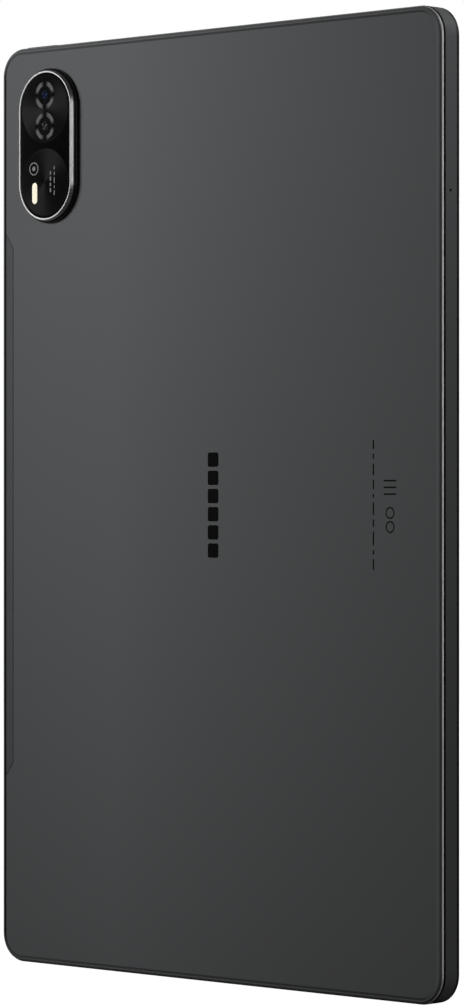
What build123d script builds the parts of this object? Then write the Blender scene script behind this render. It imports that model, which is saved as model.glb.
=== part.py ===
from build123d import *
import os

os.makedirs("parts", exist_ok=True)

# Overall sizes of the closed tablet, in millimetres
tablet_width = 182.0
tablet_height = 280.0
tablet_thickness = 7.5
corner_radius = 8.5
camera_rise = 2.65

# Shell
side_wall = 1.3
back_plate = 0.8
rim_depth = 1.2
edge_depth = 1.2
shoulder_inset = 0.86
bevel_inset = 0.45
bevel_depth = 0.28
bevel_end_inset = 0.06
bevel_end_depth = 0.95
frame_step = 0.03
frame_front = 0.1
frame_bevel = 0.08

# Display stack, front to back
glass_thickness = 0.7
lcd_thickness = 1.0
backlight_thickness = 1.0
cushion_thickness = 0.2
mid_thickness = 0.4

# Insets from the tablet's outline
glass_inset = 0.9
skirt_width = 0.75
skirt_depth = 0.8
ledge_inset = 6.2
lcd_inset = 7.0
mid_inset = 3.8
boss_inset = 5.5
display_corner = 1.5
glass_edge_radius = 0.35
cushion_step = 0.5
cushion_ring = 3.0

# Named gaps
running_gap = 0.12
seat_gap = 0.05
push_gap = 0.1

# Camera island
island_inset = 22.1
island_drop = 30.6
island_width = 24.8
island_height = 47.1
trim_step = 0.6
glass_side = 0.7
base_chamfer = 0.3
trim_chamfer = 0.25
spigot_step = 2.4
base_rise = 1.2
lens_gap = 0.9
lens_offset = 10.55
lens_ring_radius = 4.25
lens_ring_width = 1.05
module_gap = 0.8
flash_width = 2.3
flash_length = 6.5
flash_side = 4.5
flash_drop = 14.4

# Pen strip on the long edge
strip_clear = 5.1
strip_slope = 4.3
strip_width = 5.07
strip_corner = 1.7
strip_front = 1.9

# Keys
key_thickness = 1.9
key_edge_radius = 0.25
flange_side = 0.35
nub_half = 0.6
switch_half = 1.1
plunger_half = 0.7
plunger_length = 2.0
bracket_half = 1.3
key_rise = 0.45
flange_thickness = 0.6
flange_lip = 1.0
power_length = 13.4
power_inset = 15.0
power_travel = 0.3
rocker_length = 23.0
rocker_drop = 40.0
rocker_play = 0.3
nub_height = 0.5
nub_width = 1.6
switch_length = 4.4
switch_height = 1.2
bracket_thickness = 0.4
pivot_radius = 0.4
nub_from_end = 4.0
switch_press = 0.3

# Card tray and its ejector
tray_inset = 23.0
tray_width = 12.6
tray_thickness = 0.8
tray_length = 25.2
face_thickness = 1.0
face_lip = 0.6
face_end = 1.1
eject_clear = 1.7
tray_gap = 0.15
cage_side = 0.65
eject_hole_radius = 0.45
eject_rod_radius = 0.4
lever_arm = 5.0
lever_height = 1.0
lever_hub = 1.3
post_radius = 0.7
slider_foot = 0.6
cage_thickness = 1.9

# Connectors, speakers and electronics
port_shift = 0.1
usb_width = 8.94
usb_height = 3.26
usb_wall = 0.3
usb_depth = 6.3
speaker_inset = 49.0
speaker_width = 26.0
speaker_height = 20.0
grille_holes = 10
grille_pitch = 2.0
grille_radius = 0.6
mesh_thickness = 0.2
board_thickness = 0.8
board_standoff = 0.6
boss_radius = 1.6
boss_end = 14.0
boss_clear = 6.6
boss_top_drop = 20.0
boss_side_drop = 64.0
screw_radius = 0.7
screw_head = 1.3
screw_head_height = 0.4
mic_drop = 52.0
mic_hole_radius = 0.45
board_side_gap = 11.0
board_camera_gap = 9.0
board_drop = 62.0
board_shoulder_drop = 24.0
board_lobe_height = 21.0
board_bridge_side = 65.0
board_bridge_height = 16.0
usb_board_side = 67.0
usb_board_height = 31.0
usb_board_low = 5.0
left_boss = 32.7
right_boss = 9.7
bridge_boss = 18.2
low_row = 3.0
high_row = 4.0
usb_boss_side = 8.0
usb_boss_height = 31.0
battery_gap = 6.0
battery_side = 19.0
battery_bottom = 62.0
battery_top_drop = 66.0
adhesive_thickness = 0.2

# Values that follow from the sizes above
half_width = tablet_width / 2
mid_z = tablet_height / 2
skirt_inset = side_wall + seat_gap
screen_y = -(tablet_thickness + camera_rise) / 2
lcd_back = glass_thickness + lcd_thickness
backlight_back = lcd_back + backlight_thickness
mid_front = backlight_back + cushion_thickness
mid_back = mid_front + mid_thickness
floor_depth = tablet_thickness - back_plate
board_back = floor_depth - board_standoff
board_front = board_back - board_thickness
port_depth = (rim_depth + tablet_thickness - edge_depth) / 2 + port_shift
island_x = half_width - island_inset
island_z = tablet_height - island_drop
lens_spacing = 2 * lens_ring_radius + lens_gap
lens_radius = lens_ring_radius - lens_ring_width
lens_z = [island_z + lens_offset + lens_spacing / 2, island_z + lens_offset - lens_spacing / 2]
module_side = lens_spacing - module_gap
flash_x = island_x + flash_side
flash_z = island_z - flash_drop
power_x = half_width - power_inset
rocker_z = tablet_height - rocker_drop
tray_x = -(half_width - tray_inset)
eject_offset = tray_width / 2 + eject_clear
eject_x = tray_x + eject_offset
face_left = tray_width / 2 + face_lip
face_right = eject_offset + face_end
face_width = face_left + face_right
face_shift = (face_right - face_left) / 2
cage_width = tray_width + 2 * tray_gap + 2 * cage_side
nub_offset = rocker_length / 2 - nub_from_end
pivot_x = eject_x - lever_arm
speaker_x = half_width - speaker_inset
mic_z = tablet_height - mic_drop
boss_x = half_width - boss_inset
strip_half = mid_z - rocker_drop - rocker_length / 2 - strip_clear
low_boss = mid_z - strip_half - boss_clear
boss_top = tablet_height - boss_top_drop
boss_spots = [(side * boss_x, z) for side in (-1, 1) for z in (boss_end, low_boss, boss_top)]
boss_spots = boss_spots + [(-boss_x, mid_z), (-boss_x, tablet_height - boss_side_drop)]
board_left = -(half_width - board_side_gap)
board_right = island_x - module_side / 2 - board_camera_gap
board_bottom = tablet_height - board_drop
board_shoulder = tablet_height - board_shoulder_drop
usb_board_half = half_width - usb_board_side
main_spots = [
    (board_left + left_boss, board_bottom + low_row),
    (board_right - right_boss, board_bottom + low_row),
    (-bridge_boss, board_shoulder - high_row),
    (bridge_boss, board_shoulder - high_row),
]
usb_spots = [(side * (usb_board_half - usb_boss_side), usb_boss_height) for side in (-1, 1)]


def back_view(depth, x=0.0, z=0.0):
    # Plane parallel to the screen, its normal pointing out of the screen
    return Plane(origin=(x, screen_y + depth, z), x_dir=(1, 0, 0), z_dir=(0, -1, 0))


def side_view(x, y, z):
    # Plane across the width, its normal pointing along +X
    return Plane(origin=(x, y, z), x_dir=(0, 1, 0), z_dir=(1, 0, 0))


def slab(width, height, x, z, front, back, radius=0.0, mode=Mode.ADD):
    with BuildSketch(back_view(back, x, z)) as outline:
        if radius > 0:
            RectangleRounded(width, height, radius)
        else:
            Rectangle(width, height)
    extrude(outline.sketch, amount=back - front, mode=mode)


def pill(width, height, x, z, front, back, mode=Mode.ADD):
    with BuildSketch(back_view(back, x, z)) as outline:
        SlotOverall(height, width, rotation=90)
    extrude(outline.sketch, amount=back - front, mode=mode)


def post(radius, x, z, front, back, mode=Mode.ADD):
    with BuildSketch(back_view(back, x, z)) as outline:
        Circle(radius)
    extrude(outline.sketch, amount=back - front, mode=mode)


def edge_pill(length, thickness, x, bottom, top, mode=Mode.ADD):
    # Rounded bar lying along X in a short edge, from one height to another
    with BuildSketch(Plane(origin=(x, screen_y + port_depth, bottom))) as outline:
        SlotOverall(length, thickness)
    extrude(outline.sketch, amount=top - bottom, mode=mode)


def edge_block(length, front, back, x, bottom, top, mode=Mode.ADD):
    middle = screen_y + (front + back) / 2
    with BuildSketch(Plane(origin=(x, middle, bottom))) as outline:
        Rectangle(length, back - front)
    extrude(outline.sketch, amount=top - bottom, mode=mode)


def side_pill(length, thickness, z, inner, outer, mode=Mode.ADD):
    # Rounded bar lying along Z in the long edge at +X
    with BuildSketch(side_view(inner, screen_y + port_depth, z)) as outline:
        SlotOverall(length, thickness, rotation=90)
    extrude(outline.sketch, amount=outer - inner, mode=mode)


def side_block(length, front, back, z, inner, outer, mode=Mode.ADD):
    middle = screen_y + (front + back) / 2
    with BuildSketch(side_view(inner, middle, z)) as outline:
        Rectangle(back - front, length)
    extrude(outline.sketch, amount=outer - inner, mode=mode)


# Rear shell: one metal tub with every port, and the window region kept apart
def strip_region():
    outer = half_width + 1.0
    with BuildSketch(back_view(tablet_thickness + 1.0, 0, mid_z)) as outline:
        with BuildLine():
            Polyline(
                (outer, strip_half),
                (half_width - strip_corner, strip_half),
                (half_width - strip_width, strip_half - strip_slope),
                (half_width - strip_width, strip_slope - strip_half),
                (half_width - strip_corner, -strip_half),
                (outer, -strip_half),
                close=True,
            )
        make_face()
    return outline.sketch


with BuildPart() as strip_prism:
    extrude(strip_region(), amount=tablet_thickness + 1.0 - strip_front)

edge_steps = [
    (0.0, edge_depth),
    (bevel_end_inset, bevel_end_depth),
    (bevel_inset, bevel_depth),
    (shoulder_inset, 0.0),
]
with BuildPart() as tub:
    slab(tablet_width, tablet_height, 0, mid_z, rim_depth, tablet_thickness - edge_depth, corner_radius)
    # Back edge in three bands: a rolled wall top, a cut bevel, then a soft shoulder
    for inset, depth in edge_steps:
        with BuildSketch(back_view(tablet_thickness - depth, 0, mid_z)):
            RectangleRounded(tablet_width - 2 * inset, tablet_height - 2 * inset, corner_radius - inset)
    loft(ruled=True)
    slab(
        tablet_width - 2 * side_wall,
        tablet_height - 2 * side_wall,
        0,
        mid_z,
        rim_depth,
        floor_depth,
        corner_radius - side_wall,
        mode=Mode.SUBTRACT,
    )

with BuildPart() as rear_shell:
    add(tub.part)
    add(strip_prism.part, mode=Mode.SUBTRACT)
    for spot_x, spot_z in boss_spots:
        post(boss_radius, spot_x, spot_z, mid_back, floor_depth)
        post(screw_radius, spot_x, spot_z, mid_back, floor_depth - 0.3, mode=Mode.SUBTRACT)
    # Camera window, matched to the island's spigot
    pill(
        island_width - 2 * spigot_step,
        island_height - 2 * spigot_step,
        island_x,
        island_z,
        floor_depth,
        tablet_thickness,
        mode=Mode.SUBTRACT,
    )
    # Power key, card tray and connector openings in the short edges
    top_in = tablet_height - side_wall
    over = tablet_height + 1.0
    opening = key_thickness + 2 * running_gap
    for length, spot in ((power_length, power_x), (face_width, tray_x + face_shift)):
        edge_pill(
            length + 2 * running_gap,
            opening,
            spot,
            top_in - 0.5,
            over,
            mode=Mode.SUBTRACT,
        )
    edge_pill(usb_width, usb_height, 0, -1.0, side_wall + 0.5, mode=Mode.SUBTRACT)
    side_pill(
        rocker_length + 2 * running_gap,
        opening,
        rocker_z,
        half_width - side_wall - 0.5,
        half_width + 1.0,
        mode=Mode.SUBTRACT,
    )
    # Sound holes, ten for each of the four speakers
    for spot in (-speaker_x, speaker_x):
        for level in (-1.0, top_in - 0.5):
            with BuildSketch(Plane(origin=(spot, screen_y + port_depth, level))) as holes:
                with GridLocations(grille_pitch, 1, grille_holes, 1):
                    Circle(grille_radius)
            extrude(holes.sketch, amount=side_wall + 1.5, mode=Mode.SUBTRACT)
    # Microphone hole in the long edge at -X
    with BuildSketch(side_view(-half_width - 1.0, screen_y + port_depth, mic_z)) as mic_hole:
        Circle(mic_hole_radius)
    extrude(mic_hole.sketch, amount=side_wall + 1.5, mode=Mode.SUBTRACT)
    # Stand-offs under the main board and the connector board
    for spot_x, spot_z in main_spots + usb_spots:
        post(boss_radius, spot_x, spot_z, board_back, floor_depth)
        post(screw_radius, spot_x, spot_z, board_back, floor_depth, mode=Mode.SUBTRACT)
rear_shell.part.label = "rear_shell"
export_step(rear_shell.part, "parts/rear_shell.step")

# Radio-clear window let into the long edge
with BuildPart() as pen_strip_window:
    add(tub.part)
    add(strip_prism.part, mode=Mode.INTERSECT)
pen_strip_window.part.label = "pen_strip_window"
export_step(pen_strip_window.part, "parts/pen_strip_window.step")

# Front frame: dark ring that carries the glass and locates in the shell
camera_eye_inset = 4.8
camera_eye_x = half_width - camera_eye_inset
camera_eye_radius = 1.5
with BuildPart() as front_frame:
    slab(
        tablet_width - 2 * frame_step,
        tablet_height - 2 * frame_step,
        0,
        mid_z,
        frame_front,
        rim_depth,
        corner_radius - frame_step,
    )
    front_edges = front_frame.faces().sort_by(Axis.Y)[0].edges()
    chamfer(front_edges, frame_bevel)
    slab(
        tablet_width - 2 * skirt_inset,
        tablet_height - 2 * skirt_inset,
        0,
        mid_z,
        rim_depth,
        rim_depth + skirt_depth,
        corner_radius - skirt_inset,
    )
    inner_skirt = skirt_inset + skirt_width
    slab(
        tablet_width - 2 * inner_skirt,
        tablet_height - 2 * inner_skirt,
        0,
        mid_z,
        rim_depth,
        rim_depth + skirt_depth,
        corner_radius - inner_skirt,
        mode=Mode.SUBTRACT,
    )
    recess = glass_inset - seat_gap
    slab(
        tablet_width - 2 * recess,
        tablet_height - 2 * recess,
        0,
        mid_z,
        0,
        glass_thickness,
        corner_radius - recess,
        mode=Mode.SUBTRACT,
    )
    slab(
        tablet_width - 2 * ledge_inset,
        tablet_height - 2 * ledge_inset,
        0,
        mid_z,
        0,
        rim_depth + skirt_depth,
        2.0,
        mode=Mode.SUBTRACT,
    )
    post(camera_eye_radius + 0.2, camera_eye_x, mid_z, 0, rim_depth + 0.1, mode=Mode.SUBTRACT)
front_frame.part.label = "front_frame"
export_step(front_frame.part, "parts/front_frame.step")

# Cover glass with a softened front edge
with BuildPart() as front_glass:
    slab(
        tablet_width - 2 * glass_inset,
        tablet_height - 2 * glass_inset,
        0,
        mid_z,
        0,
        glass_thickness,
        corner_radius - glass_inset,
    )
    glass_edges = front_glass.faces().sort_by(Axis.Y)[0].edges()
    fillet(glass_edges, glass_edge_radius)
front_glass.part.label = "front_glass"
export_step(front_glass.part, "parts/front_glass.step")

# Liquid crystal panel behind the glass
with BuildPart() as lcd_panel:
    slab(
        tablet_width - 2 * lcd_inset,
        tablet_height - 2 * lcd_inset,
        0,
        mid_z,
        glass_thickness,
        lcd_back,
        display_corner,
    )
lcd_panel.part.label = "lcd_panel"
export_step(lcd_panel.part, "parts/lcd_panel.step")

# Backlight: a pan that holds the light guide
with BuildPart() as backlight_unit:
    slab(
        tablet_width - 2 * lcd_inset,
        tablet_height - 2 * lcd_inset,
        0,
        mid_z,
        lcd_back,
        backlight_back,
        display_corner,
    )
backlight_unit.part.label = "backlight_unit"
export_step(backlight_unit.part, "parts/backlight_unit.step")

# Foam ring between backlight and mid frame
with BuildPart() as display_cushion:
    cushion_width = tablet_width - 2 * (lcd_inset + cushion_step)
    cushion_height = tablet_height - 2 * (lcd_inset + cushion_step)
    slab(cushion_width, cushion_height, 0, mid_z, backlight_back, mid_front, 1.0)
    slab(
        cushion_width - 2 * cushion_ring,
        cushion_height - 2 * cushion_ring,
        0,
        mid_z,
        backlight_back,
        mid_front,
        1.0,
        mode=Mode.SUBTRACT,
    )
display_cushion.part.label = "display_cushion"
export_step(display_cushion.part, "parts/display_cushion.step")

# Mid frame: stiffening plate screwed to the shell's posts
reader_tail = 8.5
reader_bottom = tablet_height - tray_length - reader_tail
flex_side = 48.0
flex_x = board_left + flex_side
flex_z = tablet_height - battery_top_drop + 3.0
flex_width = 16.0
key_window = 5.0
edge_window = 8.0
eye_window = 6.4
port_window = 9.0
rib_window = 18.0
rib_corner = 4.0
rib_clear = 24.0
rib_shift = 2.0
with BuildPart() as mid_frame:
    slab(
        tablet_width - 2 * mid_inset,
        tablet_height - 2 * mid_inset,
        0,
        mid_z,
        mid_front,
        mid_back,
        corner_radius - mid_inset,
    )
    for spot_x, spot_z in boss_spots:
        post(screw_radius + 0.1, spot_x, spot_z, mid_front, mid_back, mode=Mode.SUBTRACT)
    # Room for the connector, the card reader, both keys and the front camera
    slab(usb_width + 3.0, port_window, 0, mid_inset + 3.0, mid_front, mid_back, mode=Mode.SUBTRACT)
    slab(
        cage_width + 6.0,
        tablet_height - reader_bottom,
        tray_x + 1.4,
        (tablet_height + reader_bottom) / 2,
        mid_front,
        mid_back,
        mode=Mode.SUBTRACT,
    )
    edge_x = half_width - mid_inset
    openings = [
        (power_length + key_window, edge_window, power_x, tablet_height - mid_inset),
        (edge_window, rocker_length + key_window, edge_x, rocker_z),
        (edge_window, eye_window, edge_x - 2.0, mid_z),
        (flex_width + 2.0, 1.6, flex_x, flex_z),
    ]
    for width, height, x, z in openings:
        slab(width, height, x, z, mid_front, mid_back, mode=Mode.SUBTRACT)
    # Long ribs' windows over the battery
    window_height = tablet_height - battery_bottom - battery_top_drop - rib_clear
    for column in (-0.6, -0.3, 0.3, 0.6):
        slab(
            rib_window,
            window_height,
            column * half_width,
            mid_z - rib_shift,
            mid_front,
            mid_back,
            rib_corner,
            mode=Mode.SUBTRACT,
        )
mid_frame.part.label = "mid_frame"
export_step(mid_frame.part, "parts/mid_frame.step")

# Screws that hold the mid frame
with BuildPart() as frame_screws:
    for spot_x, spot_z in boss_spots:
        post(screw_head, spot_x, spot_z, mid_front - screw_head_height, mid_front)
        post(screw_radius - 0.02, spot_x, spot_z, mid_front, floor_depth - 0.5)
        post(0.5, spot_x, spot_z, mid_front - screw_head_height, mid_front - 0.15, mode=Mode.SUBTRACT)
frame_screws.part.label = "frame_screws"
export_step(frame_screws.part, "parts/frame_screws.step")

# Camera island: base with a spigot in the shell
trim_width = island_width - 2 * trim_step
trim_height = island_height - 2 * trim_step
base_top = tablet_thickness + base_rise
island_top = tablet_thickness + camera_rise
with BuildPart() as camera_base:
    pill(island_width, island_height, island_x, island_z, tablet_thickness, base_top)
    base_rim = camera_base.faces().sort_by(Axis.Y)[-1].edges()
    chamfer(base_rim, base_chamfer)
    pill(
        island_width - 2 * spigot_step,
        island_height - 2 * spigot_step,
        island_x,
        island_z,
        floor_depth,
        tablet_thickness,
    )
    slab(
        module_side + module_gap,
        lens_spacing + module_side + module_gap,
        island_x,
        island_z + lens_offset,
        floor_depth,
        base_top,
        1.0,
        mode=Mode.SUBTRACT,
    )
    pill(flash_width, flash_length, flash_x, flash_z, floor_depth, base_top, mode=Mode.SUBTRACT)
camera_base.part.label = "camera_base"
export_step(camera_base.part, "parts/camera_base.step")

# Polished trim around the camera glass
with BuildPart() as camera_trim:
    pill(trim_width, trim_height, island_x, island_z, base_top, island_top)
    trim_rim = camera_trim.faces().sort_by(Axis.Y)[-1].edges()
    chamfer(trim_rim, trim_chamfer)
    pill(
        trim_width - 2 * glass_side,
        trim_height - 2 * glass_side,
        island_x,
        island_z,
        base_top,
        island_top,
        mode=Mode.SUBTRACT,
    )
camera_trim.part.label = "camera_trim"
export_step(camera_trim.part, "parts/camera_trim.step")

# Decor plate under the camera glass, open at the lenses and the flash
inner_width = trim_width - 2 * glass_side
inner_height = trim_height - 2 * glass_side
decor_top = base_top + 0.3
glass_top = island_top - 0.1
with BuildPart() as camera_decor:
    pill(inner_width - 0.1, inner_height - 0.1, island_x, island_z, base_top, decor_top)
    for level in lens_z:
        post(lens_ring_radius, island_x, level, base_top, decor_top, mode=Mode.SUBTRACT)
    pill(flash_width, flash_length, flash_x, flash_z, base_top, decor_top, mode=Mode.SUBTRACT)
camera_decor.part.label = "camera_decor"
export_step(camera_decor.part, "parts/camera_decor.step")

# Camera cover glass
with BuildPart() as camera_glass:
    pill(inner_width - 0.1, inner_height - 0.1, island_x, island_z, decor_top, glass_top)
    for level in lens_z:
        post(lens_ring_radius, island_x, level, decor_top, glass_top, mode=Mode.SUBTRACT)
    pill(flash_width, flash_length, flash_x, flash_z, decor_top, glass_top, mode=Mode.SUBTRACT)
camera_glass.part.label = "camera_glass"
export_step(camera_glass.part, "parts/camera_glass.step")

# Rings around the two lenses
with BuildPart() as lens_rings:
    for level in lens_z:
        post(lens_ring_radius - 0.03, island_x, level, base_top, island_top - 0.02)
    ring_faces = lens_rings.faces().sort_by(Axis.Y)[-2:]
    chamfer(ring_faces.edges(), 0.12)
    for level in lens_z:
        post(lens_radius, island_x, level, base_top, island_top, mode=Mode.SUBTRACT)
lens_rings.part.label = "lens_rings"
export_step(lens_rings.part, "parts/lens_rings.step")

# Domed lens covers
lens_back = island_top - 0.35
lens_dome = 0.25
with BuildPart() as lens_covers:
    for level in lens_z:
        post(lens_radius - 0.02, island_x, level, base_top + 0.1, lens_back)
    lens_faces = lens_covers.faces().sort_by(Axis.Y)[-2:]
    fillet(lens_faces.edges(), lens_dome)
lens_covers.part.label = "lens_covers"
export_step(lens_covers.part, "parts/lens_covers.step")

# Flash window
with BuildPart() as flash_lens:
    pill(flash_width - 0.06, flash_length - 0.06, flash_x, flash_z, base_top - 0.4, glass_top)
    flash_rim = flash_lens.faces().sort_by(Axis.Y)[-1].edges()
    fillet(flash_rim, 0.15)
flash_lens.part.label = "flash_lens"
export_step(flash_lens.part, "parts/flash_lens.step")

# Two rear camera modules, each a square body with a round barrel
barrel_radius = lens_radius - 0.3
module_front = mid_back + 0.3
with BuildPart() as main_camera:
    slab(module_side, module_side, island_x, lens_z[0], module_front, floor_depth - 0.1, 0.6)
    post(barrel_radius, island_x, lens_z[0], floor_depth - 0.1, base_top + 0.05)
    post(1.4, island_x, lens_z[0], base_top - 0.5, base_top + 0.05, mode=Mode.SUBTRACT)
main_camera.part.label = "main_camera"
export_step(main_camera.part, "parts/main_camera.step")

with BuildPart() as second_camera:
    slab(module_side, module_side, island_x, lens_z[1], module_front, floor_depth - 0.1, 0.6)
    post(barrel_radius, island_x, lens_z[1], floor_depth - 0.1, base_top + 0.05)
    post(1.0, island_x, lens_z[1], base_top - 0.5, base_top + 0.05, mode=Mode.SUBTRACT)
second_camera.part.label = "second_camera"
export_step(second_camera.part, "parts/second_camera.step")

# Flash emitter on its own small board
with BuildPart() as flash_board:
    slab(6.0, 9.0, flash_x, flash_z, floor_depth - 1.0, floor_depth - 0.6)
    slab(1.6, 1.6, flash_x, flash_z, floor_depth - 0.6, floor_depth + 0.4)
flash_board.part.label = "flash_board"
export_step(flash_board.part, "parts/flash_board.step")

# Sheet bracket behind the camera modules
with BuildPart() as camera_bracket:
    bracket_height = lens_spacing + module_side + 4.0
    slab(
        module_side + 4.0,
        bracket_height,
        island_x,
        island_z + lens_offset,
        mid_back,
        module_front,
        1.0,
    )
    for side in (-1, 1):
        slab(
            bracket_thickness,
            bracket_height - 4.0,
            island_x + side * (module_side / 2 + 1.2),
            island_z + lens_offset,
            module_front,
            floor_depth,
        )
camera_bracket.part.label = "camera_bracket"
export_step(camera_bracket.part, "parts/camera_bracket.step")

# Front camera looking through the cover glass
with BuildPart() as front_camera:
    slab(4.4, 4.4, camera_eye_x, mid_z, rim_depth, mid_back + 0.8)
    post(camera_eye_radius, camera_eye_x, mid_z, glass_thickness, rim_depth)
    post(0.7, camera_eye_x, mid_z, glass_thickness, rim_depth - 0.1, mode=Mode.SUBTRACT)
front_camera.part.label = "front_camera"
export_step(front_camera.part, "parts/front_camera.step")

# Main board, stepped round the speakers and the cameras
board_middle = (board_left + board_right) / 2
board_span = board_right - board_left
lobe_left = tray_x - cage_width / 2 - 2.0
lobe_right = eject_x + 3.0
with BuildPart() as mainboard:
    slab(
        board_span,
        board_shoulder - board_bottom,
        board_middle,
        (board_shoulder + board_bottom) / 2,
        board_front,
        board_back,
    )
    slab(
        lobe_right - lobe_left,
        board_lobe_height,
        (lobe_left + lobe_right) / 2,
        board_shoulder + board_lobe_height / 2,
        board_front,
        board_back,
    )
    slab(
        2 * (half_width - board_bridge_side),
        board_bridge_height,
        0,
        board_shoulder + board_bridge_height / 2,
        board_front,
        board_back,
    )
    for spot_x, spot_z in main_spots:
        post(screw_radius, spot_x, spot_z, board_front, board_back, mode=Mode.SUBTRACT)
mainboard.part.label = "mainboard"
export_step(mainboard.part, "parts/mainboard.step")


def shield_can(start, end, low, high):
    # Lid and four walls soldered to the board's screen side
    left = board_left + start * board_span
    right = board_left + end * board_span
    width = right - left
    height = high - low
    lid_front = mid_back + 0.1
    slab(width, height, (left + right) / 2, (low + high) / 2, lid_front, board_front, 0.6)
    slab(
        width - 0.5,
        height - 0.5,
        (left + right) / 2,
        (low + high) / 2,
        lid_front + 0.2,
        board_front,
        0.4,
        mode=Mode.SUBTRACT,
    )


can_low = board_bottom + 7.0
can_high = board_shoulder - 8.0
with BuildPart() as processor_shield:
    shield_can(0.4, 0.64, can_low, can_high)
processor_shield.part.label = "processor_shield"
export_step(processor_shield.part, "parts/processor_shield.step")

with BuildPart() as radio_shield:
    shield_can(0.7, 0.92, can_low, can_high)
radio_shield.part.label = "radio_shield"
export_step(radio_shield.part, "parts/radio_shield.step")

# Processor, memory, power and radio chips
chip_spots = [(0.48, 0.4, 12.0), (0.57, 0.7, 9.0), (0.8, 0.5, 10.0), (0.1, 0.5, 8.0), (0.24, 0.3, 6.0)]
with BuildPart() as board_chips:
    for along, up, size in chip_spots:
        slab(
            size,
            size,
            board_left + along * board_span,
            can_low + up * (can_high - can_low),
            board_front - 0.9,
            board_front,
        )
board_chips.part.label = "board_chips"
export_step(board_chips.part, "parts/board_chips.step")

# Screws of both boards
with BuildPart() as board_screws:
    for spot_x, spot_z in main_spots + usb_spots:
        post(screw_head, spot_x, spot_z, board_front - screw_head_height, board_front)
        post(screw_radius - 0.02, spot_x, spot_z, board_front, floor_depth)
        post(0.5, spot_x, spot_z, board_front - screw_head_height, board_front - 0.15, mode=Mode.SUBTRACT)
board_screws.part.label = "board_screws"
export_step(board_screws.part, "parts/board_screws.step")

# Two battery cells side by side
cell_width = half_width - battery_side - battery_gap / 2
cell_height = tablet_height - battery_bottom - battery_top_drop
cell_x = battery_gap / 2 + cell_width / 2
cell_z = battery_bottom + cell_height / 2
cell_front = mid_back + 0.2
cell_back = floor_depth - adhesive_thickness
with BuildPart() as battery_cell_left:
    slab(cell_width, cell_height, -cell_x, cell_z, cell_front, cell_back, 2.0)
battery_cell_left.part.label = "battery_cell_left"
export_step(battery_cell_left.part, "parts/battery_cell_left.step")

with BuildPart() as battery_cell_right:
    slab(cell_width, cell_height, cell_x, cell_z, cell_front, cell_back, 2.0)
battery_cell_right.part.label = "battery_cell_right"
export_step(battery_cell_right.part, "parts/battery_cell_right.step")

# Stretch-release strips under the cells
with BuildPart() as battery_adhesive:
    for centre in (-cell_x, cell_x):
        for side in (-0.3, 0.3):
            slab(
                12.0,
                cell_height * 0.9,
                centre + side * cell_width,
                cell_z,
                cell_back,
                floor_depth,
                1.0,
            )
battery_adhesive.part.label = "battery_adhesive"
export_step(battery_adhesive.part, "parts/battery_adhesive.step")

# Protection board across the top of the cells
guard_bottom = battery_bottom + cell_height
guard_width = 45.5
guard_height = 3.4
with BuildPart() as battery_board:
    slab(
        guard_width,
        guard_height,
        0,
        guard_bottom + guard_height / 2,
        port_depth + nub_half,
        board_back,
        0.5,
    )
battery_board.part.label = "battery_board"
export_step(battery_board.part, "parts/battery_board.step")


# Speaker boxes, each with its port facing a row of sound holes
def speaker_box(x, low, high):
    slab(
        speaker_width,
        high - low,
        x,
        (low + high) / 2,
        mid_back + 0.1,
        floor_depth - 0.1,
        1.2,
    )
    cone_z = (low + high) / 2
    post(5.0, x - 5.0, cone_z, mid_back + 0.1, mid_back + 0.4, mode=Mode.SUBTRACT)


speaker_end = side_wall + mesh_thickness
low_speaker = (speaker_end, speaker_end + speaker_height)
high_speaker = (tablet_height - speaker_end - speaker_height, tablet_height - speaker_end)
with BuildPart() as speaker_top_left:
    speaker_box(-speaker_x, *high_speaker)
speaker_top_left.part.label = "speaker_top_left"
export_step(speaker_top_left.part, "parts/speaker_top_left.step")

with BuildPart() as speaker_top_right:
    speaker_box(speaker_x, *high_speaker)
speaker_top_right.part.label = "speaker_top_right"
export_step(speaker_top_right.part, "parts/speaker_top_right.step")

with BuildPart() as speaker_bottom_left:
    speaker_box(-speaker_x, *low_speaker)
speaker_bottom_left.part.label = "speaker_bottom_left"
export_step(speaker_bottom_left.part, "parts/speaker_bottom_left.step")

with BuildPart() as speaker_bottom_right:
    speaker_box(speaker_x, *low_speaker)
speaker_bottom_right.part.label = "speaker_bottom_right"
export_step(speaker_bottom_right.part, "parts/speaker_bottom_right.step")

# Dust meshes between the speakers and the shell
with BuildPart() as speaker_meshes:
    mesh_length = grille_pitch * grille_holes + 1.5
    for centre in (-speaker_x, speaker_x):
        for level in (side_wall, tablet_height - side_wall - mesh_thickness):
            edge_pill(mesh_length, 2.4, centre, level, level + mesh_thickness)
speaker_meshes.part.label = "speaker_meshes"
export_step(speaker_meshes.part, "parts/speaker_meshes.step")

# Connector shell, open at the bottom edge
usb_start = 0.3
with BuildPart() as usb_c_shell:
    edge_pill(usb_width, usb_height, 0, usb_start, usb_start + usb_depth)
    edge_pill(
        usb_width - 2 * usb_wall,
        usb_height - 2 * usb_wall,
        0,
        usb_start,
        usb_start + usb_depth - 0.8,
        mode=Mode.SUBTRACT,
    )
usb_c_shell.part.label = "usb_c_shell"
export_step(usb_c_shell.part, "parts/usb_c_shell.step")

# Tongue that carries the contacts
tongue_thickness = 0.7
with BuildPart() as usb_c_tongue:
    edge_block(
        6.7,
        port_depth - tongue_thickness / 2,
        port_depth + tongue_thickness / 2,
        0,
        usb_start + 1.0,
        usb_start + usb_depth - 0.8,
    )
usb_c_tongue.part.label = "usb_c_tongue"
export_step(usb_c_tongue.part, "parts/usb_c_tongue.step")

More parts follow.
